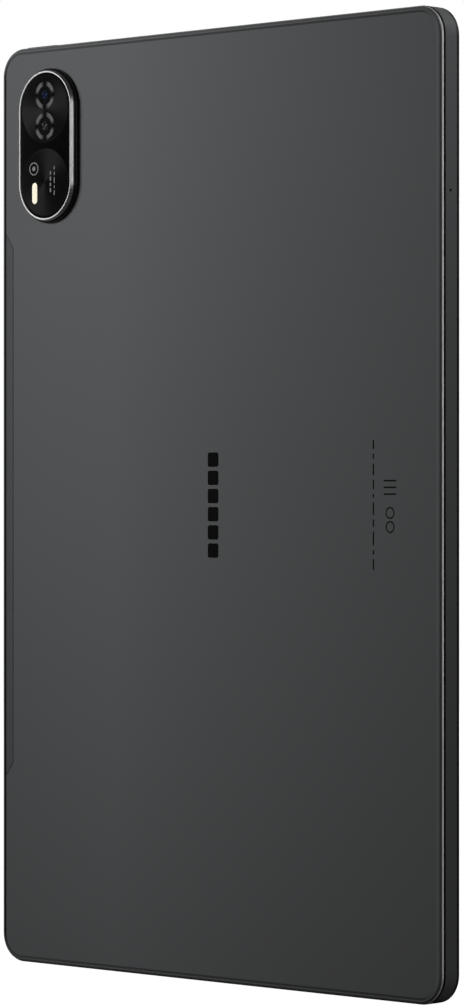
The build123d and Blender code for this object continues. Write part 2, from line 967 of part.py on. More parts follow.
# Gold contacts on both faces of the tongue
contact_rise = 0.05
with BuildPart() as usb_c_contacts:
    for face in (-1, 1):
        middle = screen_y + port_depth + face * (tongue_thickness / 2 + contact_rise / 2)
        with BuildSketch(Plane(origin=(0, middle, usb_start + 1.4))) as strips:
            with GridLocations(0.5, 1, 12, 1):
                Rectangle(0.25, contact_rise)
        extrude(strips.sketch, amount=3.4)
usb_c_contacts.part.label = "usb_c_contacts"
export_step(usb_c_contacts.part, "parts/usb_c_contacts.step")

# Connector board with a notch for the connector
with BuildPart() as usb_board:
    slab(
        2 * usb_board_half,
        usb_board_height,
        0,
        usb_board_low + usb_board_height / 2,
        board_front,
        board_back,
    )
    notch_height = usb_depth + usb_start + 2 * push_gap
    slab(
        usb_width + 2 * push_gap,
        notch_height,
        0,
        notch_height / 2,
        board_front,
        board_back,
        mode=Mode.SUBTRACT,
    )
    for spot_x, spot_z in usb_spots:
        post(screw_radius, spot_x, spot_z, board_front, board_back, mode=Mode.SUBTRACT)
usb_board.part.label = "usb_board"
export_step(usb_board.part, "parts/usb_board.step")

# Flat cable between the two boards, in the gap between the cells
flex_thickness = 0.15
with BuildPart() as main_flex:
    flex_low = 27.0
    flex_high = board_bottom + 6.0
    slab(4.4, flex_high - flex_low, 0, (flex_low + flex_high) / 2, board_back, board_back + flex_thickness)
main_flex.part.label = "main_flex"
export_step(main_flex.part, "parts/main_flex.step")

# Display cable through the mid frame's slot to the main board
with BuildPart() as display_flex:
    slab(flex_width, 0.2, flex_x, flex_z, backlight_back, board_front)
    slab(flex_width, 5.5, flex_x, flex_z + 2.65, board_front - flex_thickness, board_front)
display_flex.part.label = "display_flex"
export_step(display_flex.part, "parts/display_flex.step")

# Power key in the top edge
wall_in = tablet_height - side_wall
power_flange_top = wall_in - seat_gap
power_nub_end = power_flange_top - flange_thickness - nub_height
with BuildPart() as power_button:
    edge_pill(power_length, key_thickness, power_x, power_flange_top - 0.2, tablet_height + key_rise)
    key_top = power_button.faces().sort_by(Axis.Z)[-1].edges()
    fillet(key_top, key_edge_radius)
    edge_pill(
        power_length + 2 * flange_lip,
        key_thickness + 2 * flange_side,
        power_x,
        power_flange_top - flange_thickness,
        power_flange_top,
    )
    edge_block(
        nub_width,
        port_depth - nub_half,
        port_depth + nub_half,
        power_x,
        power_nub_end,
        power_flange_top - flange_thickness,
    )
power_button.part.label = "power_button"
export_step(power_button.part, "parts/power_button.step")

# Dome switch under the power key
power_switch_top = power_nub_end - power_travel - 0.02
power_switch_bottom = power_switch_top - switch_height
with BuildPart() as power_switch:
    edge_block(
        switch_length,
        port_depth - switch_half,
        port_depth + switch_half,
        power_x,
        power_switch_bottom,
        power_switch_top - switch_press,
    )
    edge_block(
        plunger_length,
        port_depth - plunger_half,
        port_depth + plunger_half,
        power_x,
        power_switch_top - switch_press,
        power_switch_top,
    )
power_switch.part.label = "power_switch"
export_step(power_switch.part, "parts/power_switch.step")

# Bent bracket that backs the power switch
with BuildPart() as power_bracket:
    edge_block(
        power_length + 2.0,
        port_depth - 1.2,
        floor_depth,
        power_x,
        power_switch_bottom - bracket_thickness,
        power_switch_bottom,
    )
    edge_block(
        power_length + 2.0,
        floor_depth - bracket_thickness,
        floor_depth,
        power_x,
        power_switch_bottom - 1.6,
        power_switch_bottom - bracket_thickness,
    )
power_bracket.part.label = "power_bracket"
export_step(power_bracket.part, "parts/power_bracket.step")

# Volume rocker in the long edge at +X, with a lug on its pivot
rocker_flange = half_width - side_wall - rocker_play
lug_radius = 0.75
pivot_at = rocker_flange - flange_thickness - 0.3
rocker_nub_end = rocker_flange - flange_thickness - nub_height
with BuildPart() as volume_rocker:
    side_pill(rocker_length, key_thickness, rocker_z, rocker_flange - 0.2, half_width + key_rise)
    rocker_top = volume_rocker.faces().sort_by(Axis.X)[-1].edges()
    fillet(rocker_top, key_edge_radius)
    side_pill(
        rocker_length + 2 * flange_lip,
        key_thickness + 2 * flange_side,
        rocker_z,
        rocker_flange - flange_thickness,
        rocker_flange,
    )
    for side in (-1, 1):
        side_block(
            nub_width,
            port_depth - nub_half,
            port_depth + nub_half,
            rocker_z + side * nub_offset,
            rocker_nub_end,
            rocker_flange - flange_thickness,
        )
    post(lug_radius, pivot_at, rocker_z, port_depth - 0.8, port_depth + 0.8)
    post(
        pivot_radius + seat_gap,
        pivot_at,
        rocker_z,
        port_depth - bracket_half - 0.1,
        port_depth + bracket_half + 0.1,
        mode=Mode.SUBTRACT,
    )
volume_rocker.part.label = "volume_rocker"
export_step(volume_rocker.part, "parts/volume_rocker.step")

# Switch pair under the rocker
rocker_switch_top = rocker_nub_end - 0.2
rocker_switch_bottom = rocker_switch_top - switch_height
with BuildPart() as volume_switches:
    for side in (-1, 1):
        middle = rocker_z + side * nub_offset
        side_block(
            switch_length,
            port_depth - switch_half,
            port_depth + switch_half,
            middle,
            rocker_switch_bottom,
            rocker_switch_top - switch_press,
        )
        side_block(
            plunger_length,
            port_depth - plunger_half,
            port_depth + plunger_half,
            middle,
            rocker_switch_top - switch_press,
            rocker_switch_top,
        )
volume_switches.part.label = "volume_switches"
export_step(volume_switches.part, "parts/volume_switches.step")

# Bracket of the rocker, with two ears for its pin
with BuildPart() as volume_bracket:
    side_block(
        rocker_length + 2.0,
        port_depth - bracket_half,
        floor_depth,
        rocker_z,
        rocker_switch_bottom - bracket_thickness,
        rocker_switch_bottom,
    )
    ear_thickness = 0.4
    for ear in (port_depth - bracket_half, port_depth + bracket_half - ear_thickness):
        side_block(
            2.4,
            ear,
            ear + ear_thickness,
            rocker_z,
            rocker_switch_bottom,
            pivot_at + 0.1,
        )
    post(
        pivot_radius,
        pivot_at,
        rocker_z,
        port_depth - bracket_half - 0.1,
        port_depth + bracket_half + 0.1,
        mode=Mode.SUBTRACT,
    )
volume_bracket.part.label = "volume_bracket"
export_step(volume_bracket.part, "parts/volume_bracket.step")

# Pin through the rocker's lug
with BuildPart() as rocker_pin:
    post(pivot_radius, pivot_at, rocker_z, port_depth - bracket_half, port_depth + bracket_half)
rocker_pin.part.label = "rocker_pin"
export_step(rocker_pin.part, "parts/rocker_pin.step")

# Card tray: face plate flush with the top edge, and a two-window carrier
tray_front = port_depth - tray_thickness / 2
tray_back = port_depth + tray_thickness / 2
tray_low = tablet_height - tray_length
face_low = tablet_height - face_thickness
card_window = 8.4
sim_window = 11.0
tray_window_z = 7.0
seal_height = 0.6
with BuildPart() as sim_tray:
    edge_pill(face_width, key_thickness, tray_x + face_shift, face_low, tablet_height)
    edge_block(tray_width, tray_front, tray_back, tray_x, tray_low, face_low)
    windows = [
        (tray_width - 2.0, card_window, tablet_height - tray_window_z),
        (tray_width - 2.2, sim_window, tray_low + tray_window_z),
    ]
    for width, height, z in windows:
        slab(width, height, tray_x, z, tray_front, tray_back, 0.4, mode=Mode.SUBTRACT)
    with BuildSketch(Plane(origin=(eject_x, screen_y + port_depth, face_low - 1.0))) as pin_hole:
        Circle(eject_hole_radius)
    extrude(pin_hole.sketch, amount=face_thickness + 2.0, mode=Mode.SUBTRACT)
sim_tray.part.label = "sim_tray"
export_step(sim_tray.part, "parts/sim_tray.step")

# Rubber seal on the tray's neck
with BuildPart() as tray_seal:
    edge_pill(2 * face_left, key_thickness - 0.2, tray_x, face_low - seal_height, face_low)
    edge_block(
        tray_width,
        tray_front,
        tray_back,
        tray_x,
        face_low - seal_height,
        face_low,
        mode=Mode.SUBTRACT,
    )
tray_seal.part.label = "tray_seal"
export_step(tray_seal.part, "parts/tray_seal.step")

# Card reader: cage over the tray, base plate, lever post and rod guide
reader_top = tablet_height - 2.2
cage_front = port_depth - cage_thickness / 2
cage_back = port_depth + cage_thickness / 2
cage_low = tray_low - 0.6
lever_z = tray_low - 2.5 - push_gap - lever_height / 2
guide_z = tablet_height - 6.5
with BuildPart() as card_reader:
    edge_block(cage_width, cage_front, cage_back, tray_x, cage_low, reader_top)
    edge_block(
        tray_width + 2 * tray_gap,
        tray_front - tray_gap,
        tray_back + tray_gap,
        tray_x,
        cage_low,
        reader_top,
        mode=Mode.SUBTRACT,
    )
    plate_left = tray_x - cage_width / 2
    plate_right = eject_x + 1.0
    edge_block(
        plate_right - plate_left,
        cage_back,
        board_front,
        (plate_left + plate_right) / 2,
        lever_z - 3.0,
        reader_top,
    )
    post(post_radius, pivot_x, lever_z, cage_front + 0.1, cage_back)
    edge_block(2.0, port_depth - 0.8, cage_back, eject_x, guide_z - 1.5, guide_z + 1.5)
    with BuildSketch(Plane(origin=(eject_x, screen_y + port_depth, guide_z - 2.0))) as guide_hole:
        Circle(eject_rod_radius + seat_gap)
    extrude(guide_hole.sketch, amount=4.0, mode=Mode.SUBTRACT)
card_reader.part.label = "card_reader"
export_step(card_reader.part, "parts/card_reader.step")

# Push rod reached through the tray's small hole
rod_low = lever_z + lever_height / 2 + push_gap
with BuildPart() as eject_pin:
    with BuildSketch(Plane(origin=(eject_x, screen_y + port_depth, rod_low))):
        Circle(eject_rod_radius)
    extrude(amount=tablet_height - side_wall - 0.2 - rod_low)
eject_pin.part.label = "eject_pin"
export_step(eject_pin.part, "parts/eject_pin.step")

# Lever that turns the rod's push into the tray's lift
with BuildPart() as eject_lever:
    slab(
        2 * lever_arm + 0.8,
        lever_height,
        pivot_x,
        lever_z,
        tray_front,
        tray_back,
    )
    post(lever_hub, pivot_x, lever_z, tray_front, tray_back)
    post(post_radius + seat_gap, pivot_x, lever_z, tray_front, tray_back, mode=Mode.SUBTRACT)
eject_lever.part.label = "eject_lever"
export_step(eject_lever.part, "parts/eject_lever.step")

# Slider between the lever and the tray
slider_low = rod_low
bar_low = slider_low + 1.0
bar_high = tray_low - seat_gap
slider_x = pivot_x - lever_arm
with BuildPart() as eject_slider:
    slab(slider_foot, 1.0, slider_x, slider_low + 0.5, tray_front, tray_back)
    slab(8.0, bar_high - bar_low, slider_x + 1.5, (bar_low + bar_high) / 2, tray_front, tray_back)
eject_slider.part.label = "eject_slider"
export_step(eject_slider.part, "parts/eject_slider.step")

# Microphone behind its hole in the long edge at -X
with BuildPart() as side_microphone:
    mic_x = -(half_width - side_wall - 1.0)
    slab(2.0, 4.0, mic_x, mic_z, port_depth - 1.3, port_depth + 1.3)
    with BuildSketch(side_view(-half_width, screen_y + port_depth, mic_z)) as mic_port:
        Circle(mic_hole_radius)
    extrude(mic_port.sketch, amount=side_wall + 0.8, mode=Mode.SUBTRACT)
side_microphone.part.label = "side_microphone"
export_step(side_microphone.part, "parts/side_microphone.step")

# Vibration motor on the shell's floor
motor_width = 10.0
motor_height = 12.0
motor_inset = 26.0
motor_z = 40.0
with BuildPart() as vibration_motor:
    slab(
        motor_width,
        motor_height,
        half_width - motor_inset,
        motor_z,
        mid_back + 0.3,
        floor_depth,
        1.5,
    )
vibration_motor.part.label = "vibration_motor"
export_step(vibration_motor.part, "parts/vibration_motor.step")

# Pen charging coil behind the strip
coil_inset = 9.5
coil_width = 8.0
coil_length = 60.0
coil_winding = 2.0
coil_thickness = 0.6
with BuildPart() as pen_charging_coil:
    coil_x = half_width - coil_inset
    coil_front = floor_depth - coil_thickness
    pill(coil_width, coil_length, coil_x, mid_z, coil_front, floor_depth)
    pill(
        coil_width - 2 * coil_winding,
        coil_length - 2 * coil_winding,
        coil_x,
        mid_z,
        coil_front,
        floor_depth,
        mode=Mode.SUBTRACT,
    )
pen_charging_coil.part.label = "pen_charging_coil"
export_step(pen_charging_coil.part, "parts/pen_charging_coil.step")

# Magnets for the pen and the cover, along both long edges
magnet_width = 2.0
magnet_length = 14.0
with BuildPart() as edge_magnets:
    for side in (-1, 1):
        for step in (-0.66, -0.42, 0.42, 0.66):
            slab(
                magnet_width,
                magnet_length,
                side * (half_width - side_wall - magnet_width / 2 - 0.2),
                mid_z + step * strip_half,
                mid_back + 0.2,
                floor_depth - 0.6,
            )
edge_magnets.part.label = "edge_magnets"
export_step(edge_magnets.part, "parts/edge_magnets.step")

# Printed antennas on the back of the front frame's ledge
antenna_length = 22.0
antenna_width = 3.2
antenna_inset = 4.2
with BuildPart() as antenna_strips:
    for side in (-1, 1):
        for level in (antenna_inset, tablet_height - antenna_inset):
            slab(
                antenna_length,
                antenna_width,
                side * speaker_x,
                level,
                rim_depth,
                rim_depth + flex_thickness,
                0.5,
            )
antenna_strips.part.label = "antenna_strips"
export_step(antenna_strips.part, "parts/antenna_strips.step")
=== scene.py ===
import math

import bmesh
import bpy
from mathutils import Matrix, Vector


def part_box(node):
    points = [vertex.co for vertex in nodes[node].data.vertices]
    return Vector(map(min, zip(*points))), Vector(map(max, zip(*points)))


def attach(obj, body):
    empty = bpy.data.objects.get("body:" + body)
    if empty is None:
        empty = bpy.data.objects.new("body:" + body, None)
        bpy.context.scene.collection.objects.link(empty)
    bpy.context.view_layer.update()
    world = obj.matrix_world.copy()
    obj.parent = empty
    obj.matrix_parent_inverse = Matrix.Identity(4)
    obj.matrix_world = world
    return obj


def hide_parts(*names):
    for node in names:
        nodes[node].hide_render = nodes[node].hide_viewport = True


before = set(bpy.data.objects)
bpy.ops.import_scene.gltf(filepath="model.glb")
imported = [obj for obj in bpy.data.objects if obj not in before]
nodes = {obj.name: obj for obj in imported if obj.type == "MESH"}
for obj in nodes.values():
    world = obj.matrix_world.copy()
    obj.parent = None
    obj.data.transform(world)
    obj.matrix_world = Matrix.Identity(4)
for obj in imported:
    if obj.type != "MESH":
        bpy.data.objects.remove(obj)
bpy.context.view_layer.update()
mm = 0.001

shellLow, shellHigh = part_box("rear_shell")
backY = shellHigh.y
midZ = (shellLow.z + shellHigh.z) / 2
halfWidth = (shellHigh.x - shellLow.x) / 2
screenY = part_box("front_glass")[0].y
print("frame loaded,", len(nodes), "nodes")


# Mesh helpers shared by the pieces

def meshPiece(name, points, faces, material, body, smoothDeg=35.0):
    data = bpy.data.meshes.new(name)
    data.from_pydata(points, [], faces)
    build = bmesh.new()
    build.from_mesh(data)
    bmesh.ops.remove_doubles(build, verts=build.verts, dist=1e-7)
    bmesh.ops.recalc_face_normals(build, faces=build.faces)
    build.to_mesh(data)
    build.free()
    for face in data.polygons:
        face.use_smooth = True
    data.set_sharp_from_angle(angle=math.radians(smoothDeg))
    piece = bpy.data.objects.new(name, data)
    bpy.context.scene.collection.objects.link(piece)
    data.materials.append(material)
    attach(piece, body)
    return piece


def stadiumLoop(centre, halfWide, halfTall, steps):
    # Outline in the X-Z plane, long axis along Z, counted from the +X side
    straight = halfTall - halfWide
    loop = []
    for end in (1, -1):
        for i in range(steps + 1):
            angle = math.pi * i / steps + (0 if end > 0 else math.pi)
            x = centre[0] + halfWide * math.cos(angle)
            z = centre[1] + end * straight + halfWide * math.sin(angle)
            loop.append((x, z))
    return loop


def roundLoop(centre, radius, steps):
    loop = []
    for i in range(steps):
        angle = 2 * math.pi * i / steps
        loop.append((centre[0] + radius * math.cos(angle), centre[1] + radius * math.sin(angle)))
    return loop


def boxLoop(centre, halfWide, halfTall, radius, steps):
    # Outline in the X-Z plane with round corners
    loop = []
    corners = ((1, 1, 0), (-1, 1, 90), (-1, -1, 180), (1, -1, 270))
    for sideX, sideZ, start in corners:
        for i in range(steps + 1):
            angle = math.radians(start + 90 * i / steps)
            x = centre[0] + sideX * (halfWide - radius) + radius * math.cos(angle)
            z = centre[1] + sideZ * (halfTall - radius) + radius * math.sin(angle)
            loop.append((x, z))
    return loop


def loftLoops(loops, capFirst=False, capLast=False):
    # loops: list of (outline, y); returns points and faces of the skin between them
    count = len(loops[0][0])
    points = [(x, y, z) for outline, y in loops for x, z in outline]
    faces = []
    for k in range(len(loops) - 1):
        a = k * count
        b = a + count
        for i in range(count):
            j = (i + 1) % count
            faces.append((a + i, a + j, b + j, b + i))
    if capFirst:
        faces.append(tuple(range(count - 1, -1, -1)))
    if capLast:
        top = (len(loops) - 1) * count
        faces.append(tuple(range(top, top + count)))
    return points, faces


# Node helpers for the finishes

def startFinish(name, **sockets):
    finish = bpy.data.materials.new(name)
    finish.use_nodes = True
    tree = finish.node_tree
    shader = next(n for n in tree.nodes if n.type == "BSDF_PRINCIPLED")
    for socket, value in sockets.items():
        shader.inputs[socket.replace("_", " ")].default_value = value
    return finish, tree, shader


def addNode(tree, kind, inputs=None, **settings):
    node = tree.nodes.new(kind)
    for key, value in settings.items():
        setattr(node, key, value)
    for key, value in (inputs or {}).items():
        if hasattr(value, "is_output"):
            tree.links.new(value, node.inputs[key])
        else:
            node.inputs[key].default_value = value
    return node


def objectPoint(tree):
    return addNode(tree, "ShaderNodeTexCoord").outputs["Object"]


def splitPoint(tree, vector):
    return addNode(tree, "ShaderNodeSeparateXYZ", {0: vector}).outputs


def maths(tree, operation, first, second=0.0, clamp=False):
    inputs = {0: first, 1: second}
    return addNode(tree, "ShaderNodeMath", inputs, operation=operation, use_clamp=clamp).outputs[0]


def bandMask(tree, value, low, high, soft):
    # One between low and high, falling to zero over soft on either side
    rise = addNode(tree, "ShaderNodeMapRange", {0: value, 1: low - soft, 2: low + soft, 3: 0.0, 4: 1.0})
    fall = addNode(tree, "ShaderNodeMapRange", {0: value, 1: high - soft, 2: high + soft, 3: 1.0, 4: 0.0})
    return maths(tree, "MULTIPLY", rise.outputs[0], fall.outputs[0])


def mixColour(tree, factor, first, second, blend="MIX"):
    inputs = {0: factor, 6: first, 7: second}
    return addNode(tree, "ShaderNodeMix", inputs, data_type="RGBA", blend_type=blend).outputs[2]


def grain(tree, vector, scale, detail):
    inputs = {"Vector": vector, "Scale": scale, "Detail": detail, "Roughness": 0.5}
    return addNode(tree, "ShaderNodeTexNoise", inputs).outputs["Fac"]


def ramp(tree, value, low, high, outLow, outHigh):
    inputs = {0: value, 1: low, 2: high, 3: outLow, 4: outHigh}
    return addNode(tree, "ShaderNodeMapRange", inputs).outputs[0]


def addBump(tree, shader, height, strength, distance):
    bump = addNode(tree, "ShaderNodeBump", {"Height": height, "Strength": strength, "Distance": distance})
    tree.links.new(bump.outputs[0], shader.inputs["Normal"])


def fromCentre(tree, point, centre):
    # Place about a centre on the back or the front
    inputs = {0: point, 1: (centre[0], 0.0, centre[1])}
    return addNode(tree, "ShaderNodeVectorMath", inputs, operation="SUBTRACT").outputs[0]


def reachOf(tree, local):
    axes = splitPoint(tree, local)
    squareX = maths(tree, "MULTIPLY", axes["X"], axes["X"])
    squareZ = maths(tree, "MULTIPLY", axes["Z"], axes["Z"])
    return maths(tree, "SQRT", maths(tree, "ADD", squareX, squareZ))


def turnOf(tree, local):
    axes = splitPoint(tree, local)
    return maths(tree, "ARCTAN2", axes["Z"], axes["X"])


def setTinted(tree, shader, colour, tint):
    tree.links.new(mixColour(tree, 1.0, colour, tint, "MULTIPLY"), shader.inputs["Base Color"])


def setRoughness(tree, shader, value, middle, spread):
    rough = ramp(tree, value, 0.3, 0.7, middle - spread, middle + spread)
    tree.links.new(rough, shader.inputs["Roughness"])


def grey(value, blue=0.0):
    return (value, value * (1 + blue * 0.5), value * (1 + blue), 1.0)


# Finishes

shellLook = {
    "tone": 0.125,
    "blue": 0.05,
    "metallic": 0.08,
    "roughness": 0.56,
    "blastScale": 9000.0,
    "stripTone": 0.098,
    # Keys are painted lighter than the shell, in place of the shade in the slots round them
    "keyToneForSlotShade": 0.2,
    # Painted shade: share of the tone left at the +X edge
    "paintedEdgeShade": 0.78,
}


def blastedShell(name, tone, blue):
    # Bead-blasted anodised metal: even grain with hardly any drift in tone, and painted shade that darkens
    # it towards the +X edge
    finish, tree, shader = startFinish(name, Metallic=shellLook["metallic"], Specular_IOR_Level=0.12)
    point = objectPoint(tree)
    fine = grain(tree, point, shellLook["blastScale"], 2.0)
    cloud = grain(tree, point, 9.0, 3.0)
    drift = ramp(tree, cloud, 0.3, 0.7, 0.985, 1.015)
    speck = ramp(tree, fine, 0.3, 0.7, 0.93, 1.07)
    # Painted shade: the tone falls towards the +X edge
    fall = ramp(tree, splitPoint(tree, point)["X"], 0.45 * halfWidth, halfWidth, 1.0, shellLook["paintedEdgeShade"])
    tint = maths(tree, "MULTIPLY", maths(tree, "MULTIPLY", drift, speck), fall)
    setTinted(tree, shader, grey(tone, blue), tint)
    setRoughness(tree, shader, fine, shellLook["roughness"], 0.02)
    addBump(tree, shader, fine, 0.2, 0.00001)
    return finish


def softPlastic(name, colour, roughness, scale=2500.0, strength=0.2, variation=0.12, specular=0.5):
    # Moulded or printed surface: fine texture, slow tone drift and scuffs
    finish, tree, shader = startFinish(name, Specular_IOR_Level=specular)
    point = objectPoint(tree)
    fine = grain(tree, point, scale, 3.0)
    slow = grain(tree, point, 40.0, 4.0)
    tint = ramp(tree, slow, 0.3, 0.7, 1 - variation, 1 + variation)
    setTinted(tree, shader, colour, tint)
    setRoughness(tree, shader, slow, roughness, 0.05)
    addBump(tree, shader, fine, strength, 0.00003)
    return finish


def sheetMetal(name, colour, roughness, stretch=(1.0, 1.0, 12.0), scale=900.0, metallic=1.0, paintedTopShade=0.0):
    # Rolled or turned metal with fine directional lines; the last argument is painted shade, darker towards
    # the top and lighter towards the bottom
    finish, tree, shader = startFinish(name, Metallic=metallic)
    point = objectPoint(tree)
    lined = addNode(tree, "ShaderNodeMapping", {"Vector": point, "Scale": stretch}).outputs[0]
    lines = grain(tree, lined, scale, 3.0)
    slow = grain(tree, point, 60.0, 3.0)
    tint = ramp(tree, slow, 0.3, 0.7, 0.9, 1.08)
    if paintedTopShade:
        level = ramp(tree, splitPoint(tree, point)["Z"], 0.0, 2 * midZ, 1 + paintedTopShade, 1 - paintedTopShade)
        tint = maths(tree, "MULTIPLY", tint, level)
    setTinted(tree, shader, colour, tint)
    setRoughness(tree, shader, lines, roughness, 0.06)
    addBump(tree, shader, lines, 0.15, 0.00002)
    return finish


def circuitLaminate(name):
    # Solder mask with copper tracks just under it and bright pads
    finish, tree, shader = startFinish(name, Coat_Weight=0.3, Coat_Roughness=0.2)
    point = objectPoint(tree)
    tracks = addNode(tree, "ShaderNodeTexBrick", {"Vector": point, "Scale": 260.0, "Mortar Size": 0.012})
    pads = addNode(tree, "ShaderNodeTexVoronoi", {"Vector": point, "Scale": 420.0}).outputs["Distance"]
    pad = ramp(tree, pads, 0.16, 0.2, 1.0, 0.0)
    base = mixColour(tree, tracks.outputs["Fac"], (0.01, 0.07, 0.05, 1.0), (0.02, 0.13, 0.08, 1.0))
    base = mixColour(tree, pad, base, (0.55, 0.42, 0.2, 1.0))
    tree.links.new(base, shader.inputs["Base Color"])
    tree.links.new(pad, shader.inputs["Metallic"])
    tree.links.new(ramp(tree, pads, 0.1, 0.5, 0.3, 0.5), shader.inputs["Roughness"])
    addBump(tree, shader, pad, 0.3, 0.00004)
    return finish


islandLook = {
    "glassTone": 0.0015,
    "discTone": 0.018,
    "discRadius": 10.2 * mm,
    "discOffset": 11.15 * mm,
    "lipWidth": 0.16 * mm,
    "lipSoft": 0.04 * mm,
    "sheenTurns": (0.6, 2.2),
}


def islandGlassFinish(centre):
    # Gloss black glass over two spun discs, with painted sheen in bright and dark sectors on each disc
    finish, tree, shader = startFinish("islandGlassFinish", Coat_Weight=1.0, Coat_Roughness=0.03)
    point = objectPoint(tree)
    total = None
    edge = None
    edgeRadius = islandLook["discRadius"]
    for side, phase in zip((1, -1), islandLook["sheenTurns"]):
        middle = (centre[0], centre[1] + side * islandLook["discOffset"])
        local = fromCentre(tree, point, middle)
        radius = reachOf(tree, local)
        doubled = maths(tree, "MULTIPLY", turnOf(tree, local), 2.0)
        wave = maths(tree, "COSINE", maths(tree, "ADD", doubled, phase))
        # Painted sheen: bright and dark sectors round the disc
        paintedSheenSector = maths(tree, "POWER", ramp(tree, wave, -1.0, 1.0, 0.0, 1.0), 3.0)
        rings = grain(tree, addNode(tree, "ShaderNodeCombineXYZ", {0: radius}).outputs[0], 9000.0, 2.0)
        sheen = maths(tree, "MULTIPLY", paintedSheenSector, ramp(tree, rings, 0.3, 0.7, 0.75, 1.25))
        inside = ramp(tree, radius, edgeRadius - 0.05 * mm, edgeRadius, 1.0, 0.0)
        lip = bandMask(tree, radius, edgeRadius - islandLook["lipWidth"], edgeRadius, islandLook["lipSoft"])
        part = maths(tree, "MULTIPLY", maths(tree, "ADD", sheen, 0.12), inside)
        total = part if total is None else maths(tree, "ADD", total, part)
        edge = lip if edge is None else maths(tree, "ADD", edge, lip)
    # The disc tone, its lip and the painted sheen together
    glow = maths(tree, "ADD", total, maths(tree, "MULTIPLY", edge, 0.5), clamp=True)
    base = mixColour(tree, glow, grey(islandLook["glassTone"]), grey(islandLook["discTone"]))
    tree.links.new(base, shader.inputs["Base Color"])
    tree.links.new(ramp(tree, total, 0.0, 1.0, 0.35, 0.5), shader.inputs["Roughness"])
    return finish


barrelLook = {
    "step": 0.45 * mm,
    "pupil": (0.9 * mm, 1.5 * mm),
    "reach": 3.0 * mm,
}


def barrelFinish(name, centre, tint):
    # Stepped barrel under clear glass, with a painted glint, a tinted highlight, in the pupil
    finish, tree, shader = startFinish(name, Coat_Weight=1.0, Coat_Roughness=0.02)
    local = fromCentre(tree, objectPoint(tree), centre)
    radius = reachOf(tree, local)
    steps = maths(tree, "SINE", maths(tree, "MULTIPLY", radius, 2 * math.pi / barrelLook["step"]))
    barrel = ramp(tree, steps, -1.0, 1.0, 0.2, 1.0)
    pupil = ramp(tree, radius, *barrelLook["pupil"], 1.0, 0.0)
    sparkle = grain(tree, local, 1400.0, 2.0)
    # Painted glint: tinted highlight specks in the pupil
    glint = maths(tree, "MULTIPLY", pupil, ramp(tree, sparkle, 0.52, 0.7, 0.0, 1.0))
    dark = mixColour(tree, barrel, grey(0.001), grey(0.006))
    tree.links.new(mixColour(tree, glint, dark, tint), shader.inputs["Base Color"])
    tree.links.new(ramp(tree, radius, 0.0, barrelLook["reach"], 0.1, 0.35), shader.inputs["Roughness"])
    return finish


def ringFinish(name, centre, arcs, turn):
    # Turned ring with painted sheen that breaks into bright arcs
    finish, tree, shader = startFinish(name, Metallic=0.35)
    local = fromCentre(tree, objectPoint(tree), centre)
    angle = maths(tree, "MULTIPLY", turnOf(tree, local), arcs)
    wave = maths(tree, "COSINE", maths(tree, "ADD", angle, turn))
    # Painted sheen: bright arcs round the ring
    bright = ramp(tree, wave, -0.9, 0.3, 0.0, 1.0)
    fine = grain(tree, local, 3000.0, 2.0)
    speck = ramp(tree, fine, 0.3, 0.7, 0.85, 1.1)
    base = mixColour(tree, bright, grey(0.006), grey(0.16))
    setTinted(tree, shader, base, speck)
    setRoughness(tree, shader, fine, 0.36, 0.06)
    addBump(tree, shader, fine, 0.1, 0.00001)
    return finish


screenLook = {
    "borderTone": 0.0035,
    "darkBlue": (0.010, 0.011, 0.014, 1.0),
    "paleBlue": (0.014, 0.015, 0.019, 1.0),
    "edgeSoft": 0.05 * mm,
}


def screenFinish(activeHalfWide, activeHalfTall):
    # Black printed border and a slightly greyer resting display under gloss glass
    finish, tree, shader = startFinish("screenFinish", Coat_Weight=1.0, Coat_Roughness=0.02, Roughness=0.3)
    point = objectPoint(tree)
    axes = splitPoint(tree, point)
    fromMidX = maths(tree, "ABSOLUTE", axes["X"])
    fromMidZ = maths(tree, "ABSOLUTE", maths(tree, "SUBTRACT", axes["Z"], midZ))
    soft = screenLook["edgeSoft"]
    insideX = ramp(tree, fromMidX, activeHalfWide - soft, activeHalfWide + soft, 1.0, 0.0)
    insideZ = ramp(tree, fromMidZ, activeHalfTall - soft, activeHalfTall + soft, 1.0, 0.0)
    inside = maths(tree, "MULTIPLY", insideX, insideZ)
    haze = grain(tree, point, 25.0, 4.0)
    active = mixColour(tree, haze, screenLook["darkBlue"], screenLook["paleBlue"])
    base = mixColour(tree, inside, grey(screenLook["borderTone"]), active)
    tree.links.new(base, shader.inputs["Base Color"])
    setRoughness(tree, shader, haze, 0.32, 0.04)
    return finish


islandLow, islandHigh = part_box("camera_base")
islandCentre = ((islandLow.x + islandHigh.x) / 2, (islandLow.z + islandHigh.z) / 2)

shellMetal = blastedShell("shellMetal", shellLook["tone"], shellLook["blue"])
stripInlay = blastedShell("stripInlay", shellLook["stripTone"], 0.12)
# Keys painted lighter than the shell, standing in for the shade in the slots round them
keyMetal = blastedShell("keyMetal", shellLook["keyToneForSlotShade"], shellLook["blue"])
rimPolymer = softPlastic("rimPolymer", grey(0.008), 0.45)
polishedTrim = sheetMetal("polishedTrim", grey(0.95), 0.3, (1.0, 1.0, 1.0), 1200.0, 0.15)
trimSide = sheetMetal("trimSide", grey(0.42), 0.3, (1.0, 1.0, 8.0), 1200.0, 0.85)
# The bevel gets painted shade: darker towards the top, lighter towards the bottom
cutBevel = sheetMetal("cutBevel", grey(0.78), 0.36, (1.0, 1.0, 0.2), 2500.0, 0.45, 0.2)
rolledShoulder = sheetMetal("rolledShoulder", grey(0.14, 0.05), 0.5, (1.0, 1.0, 1.0), 4000.0, 0.35)
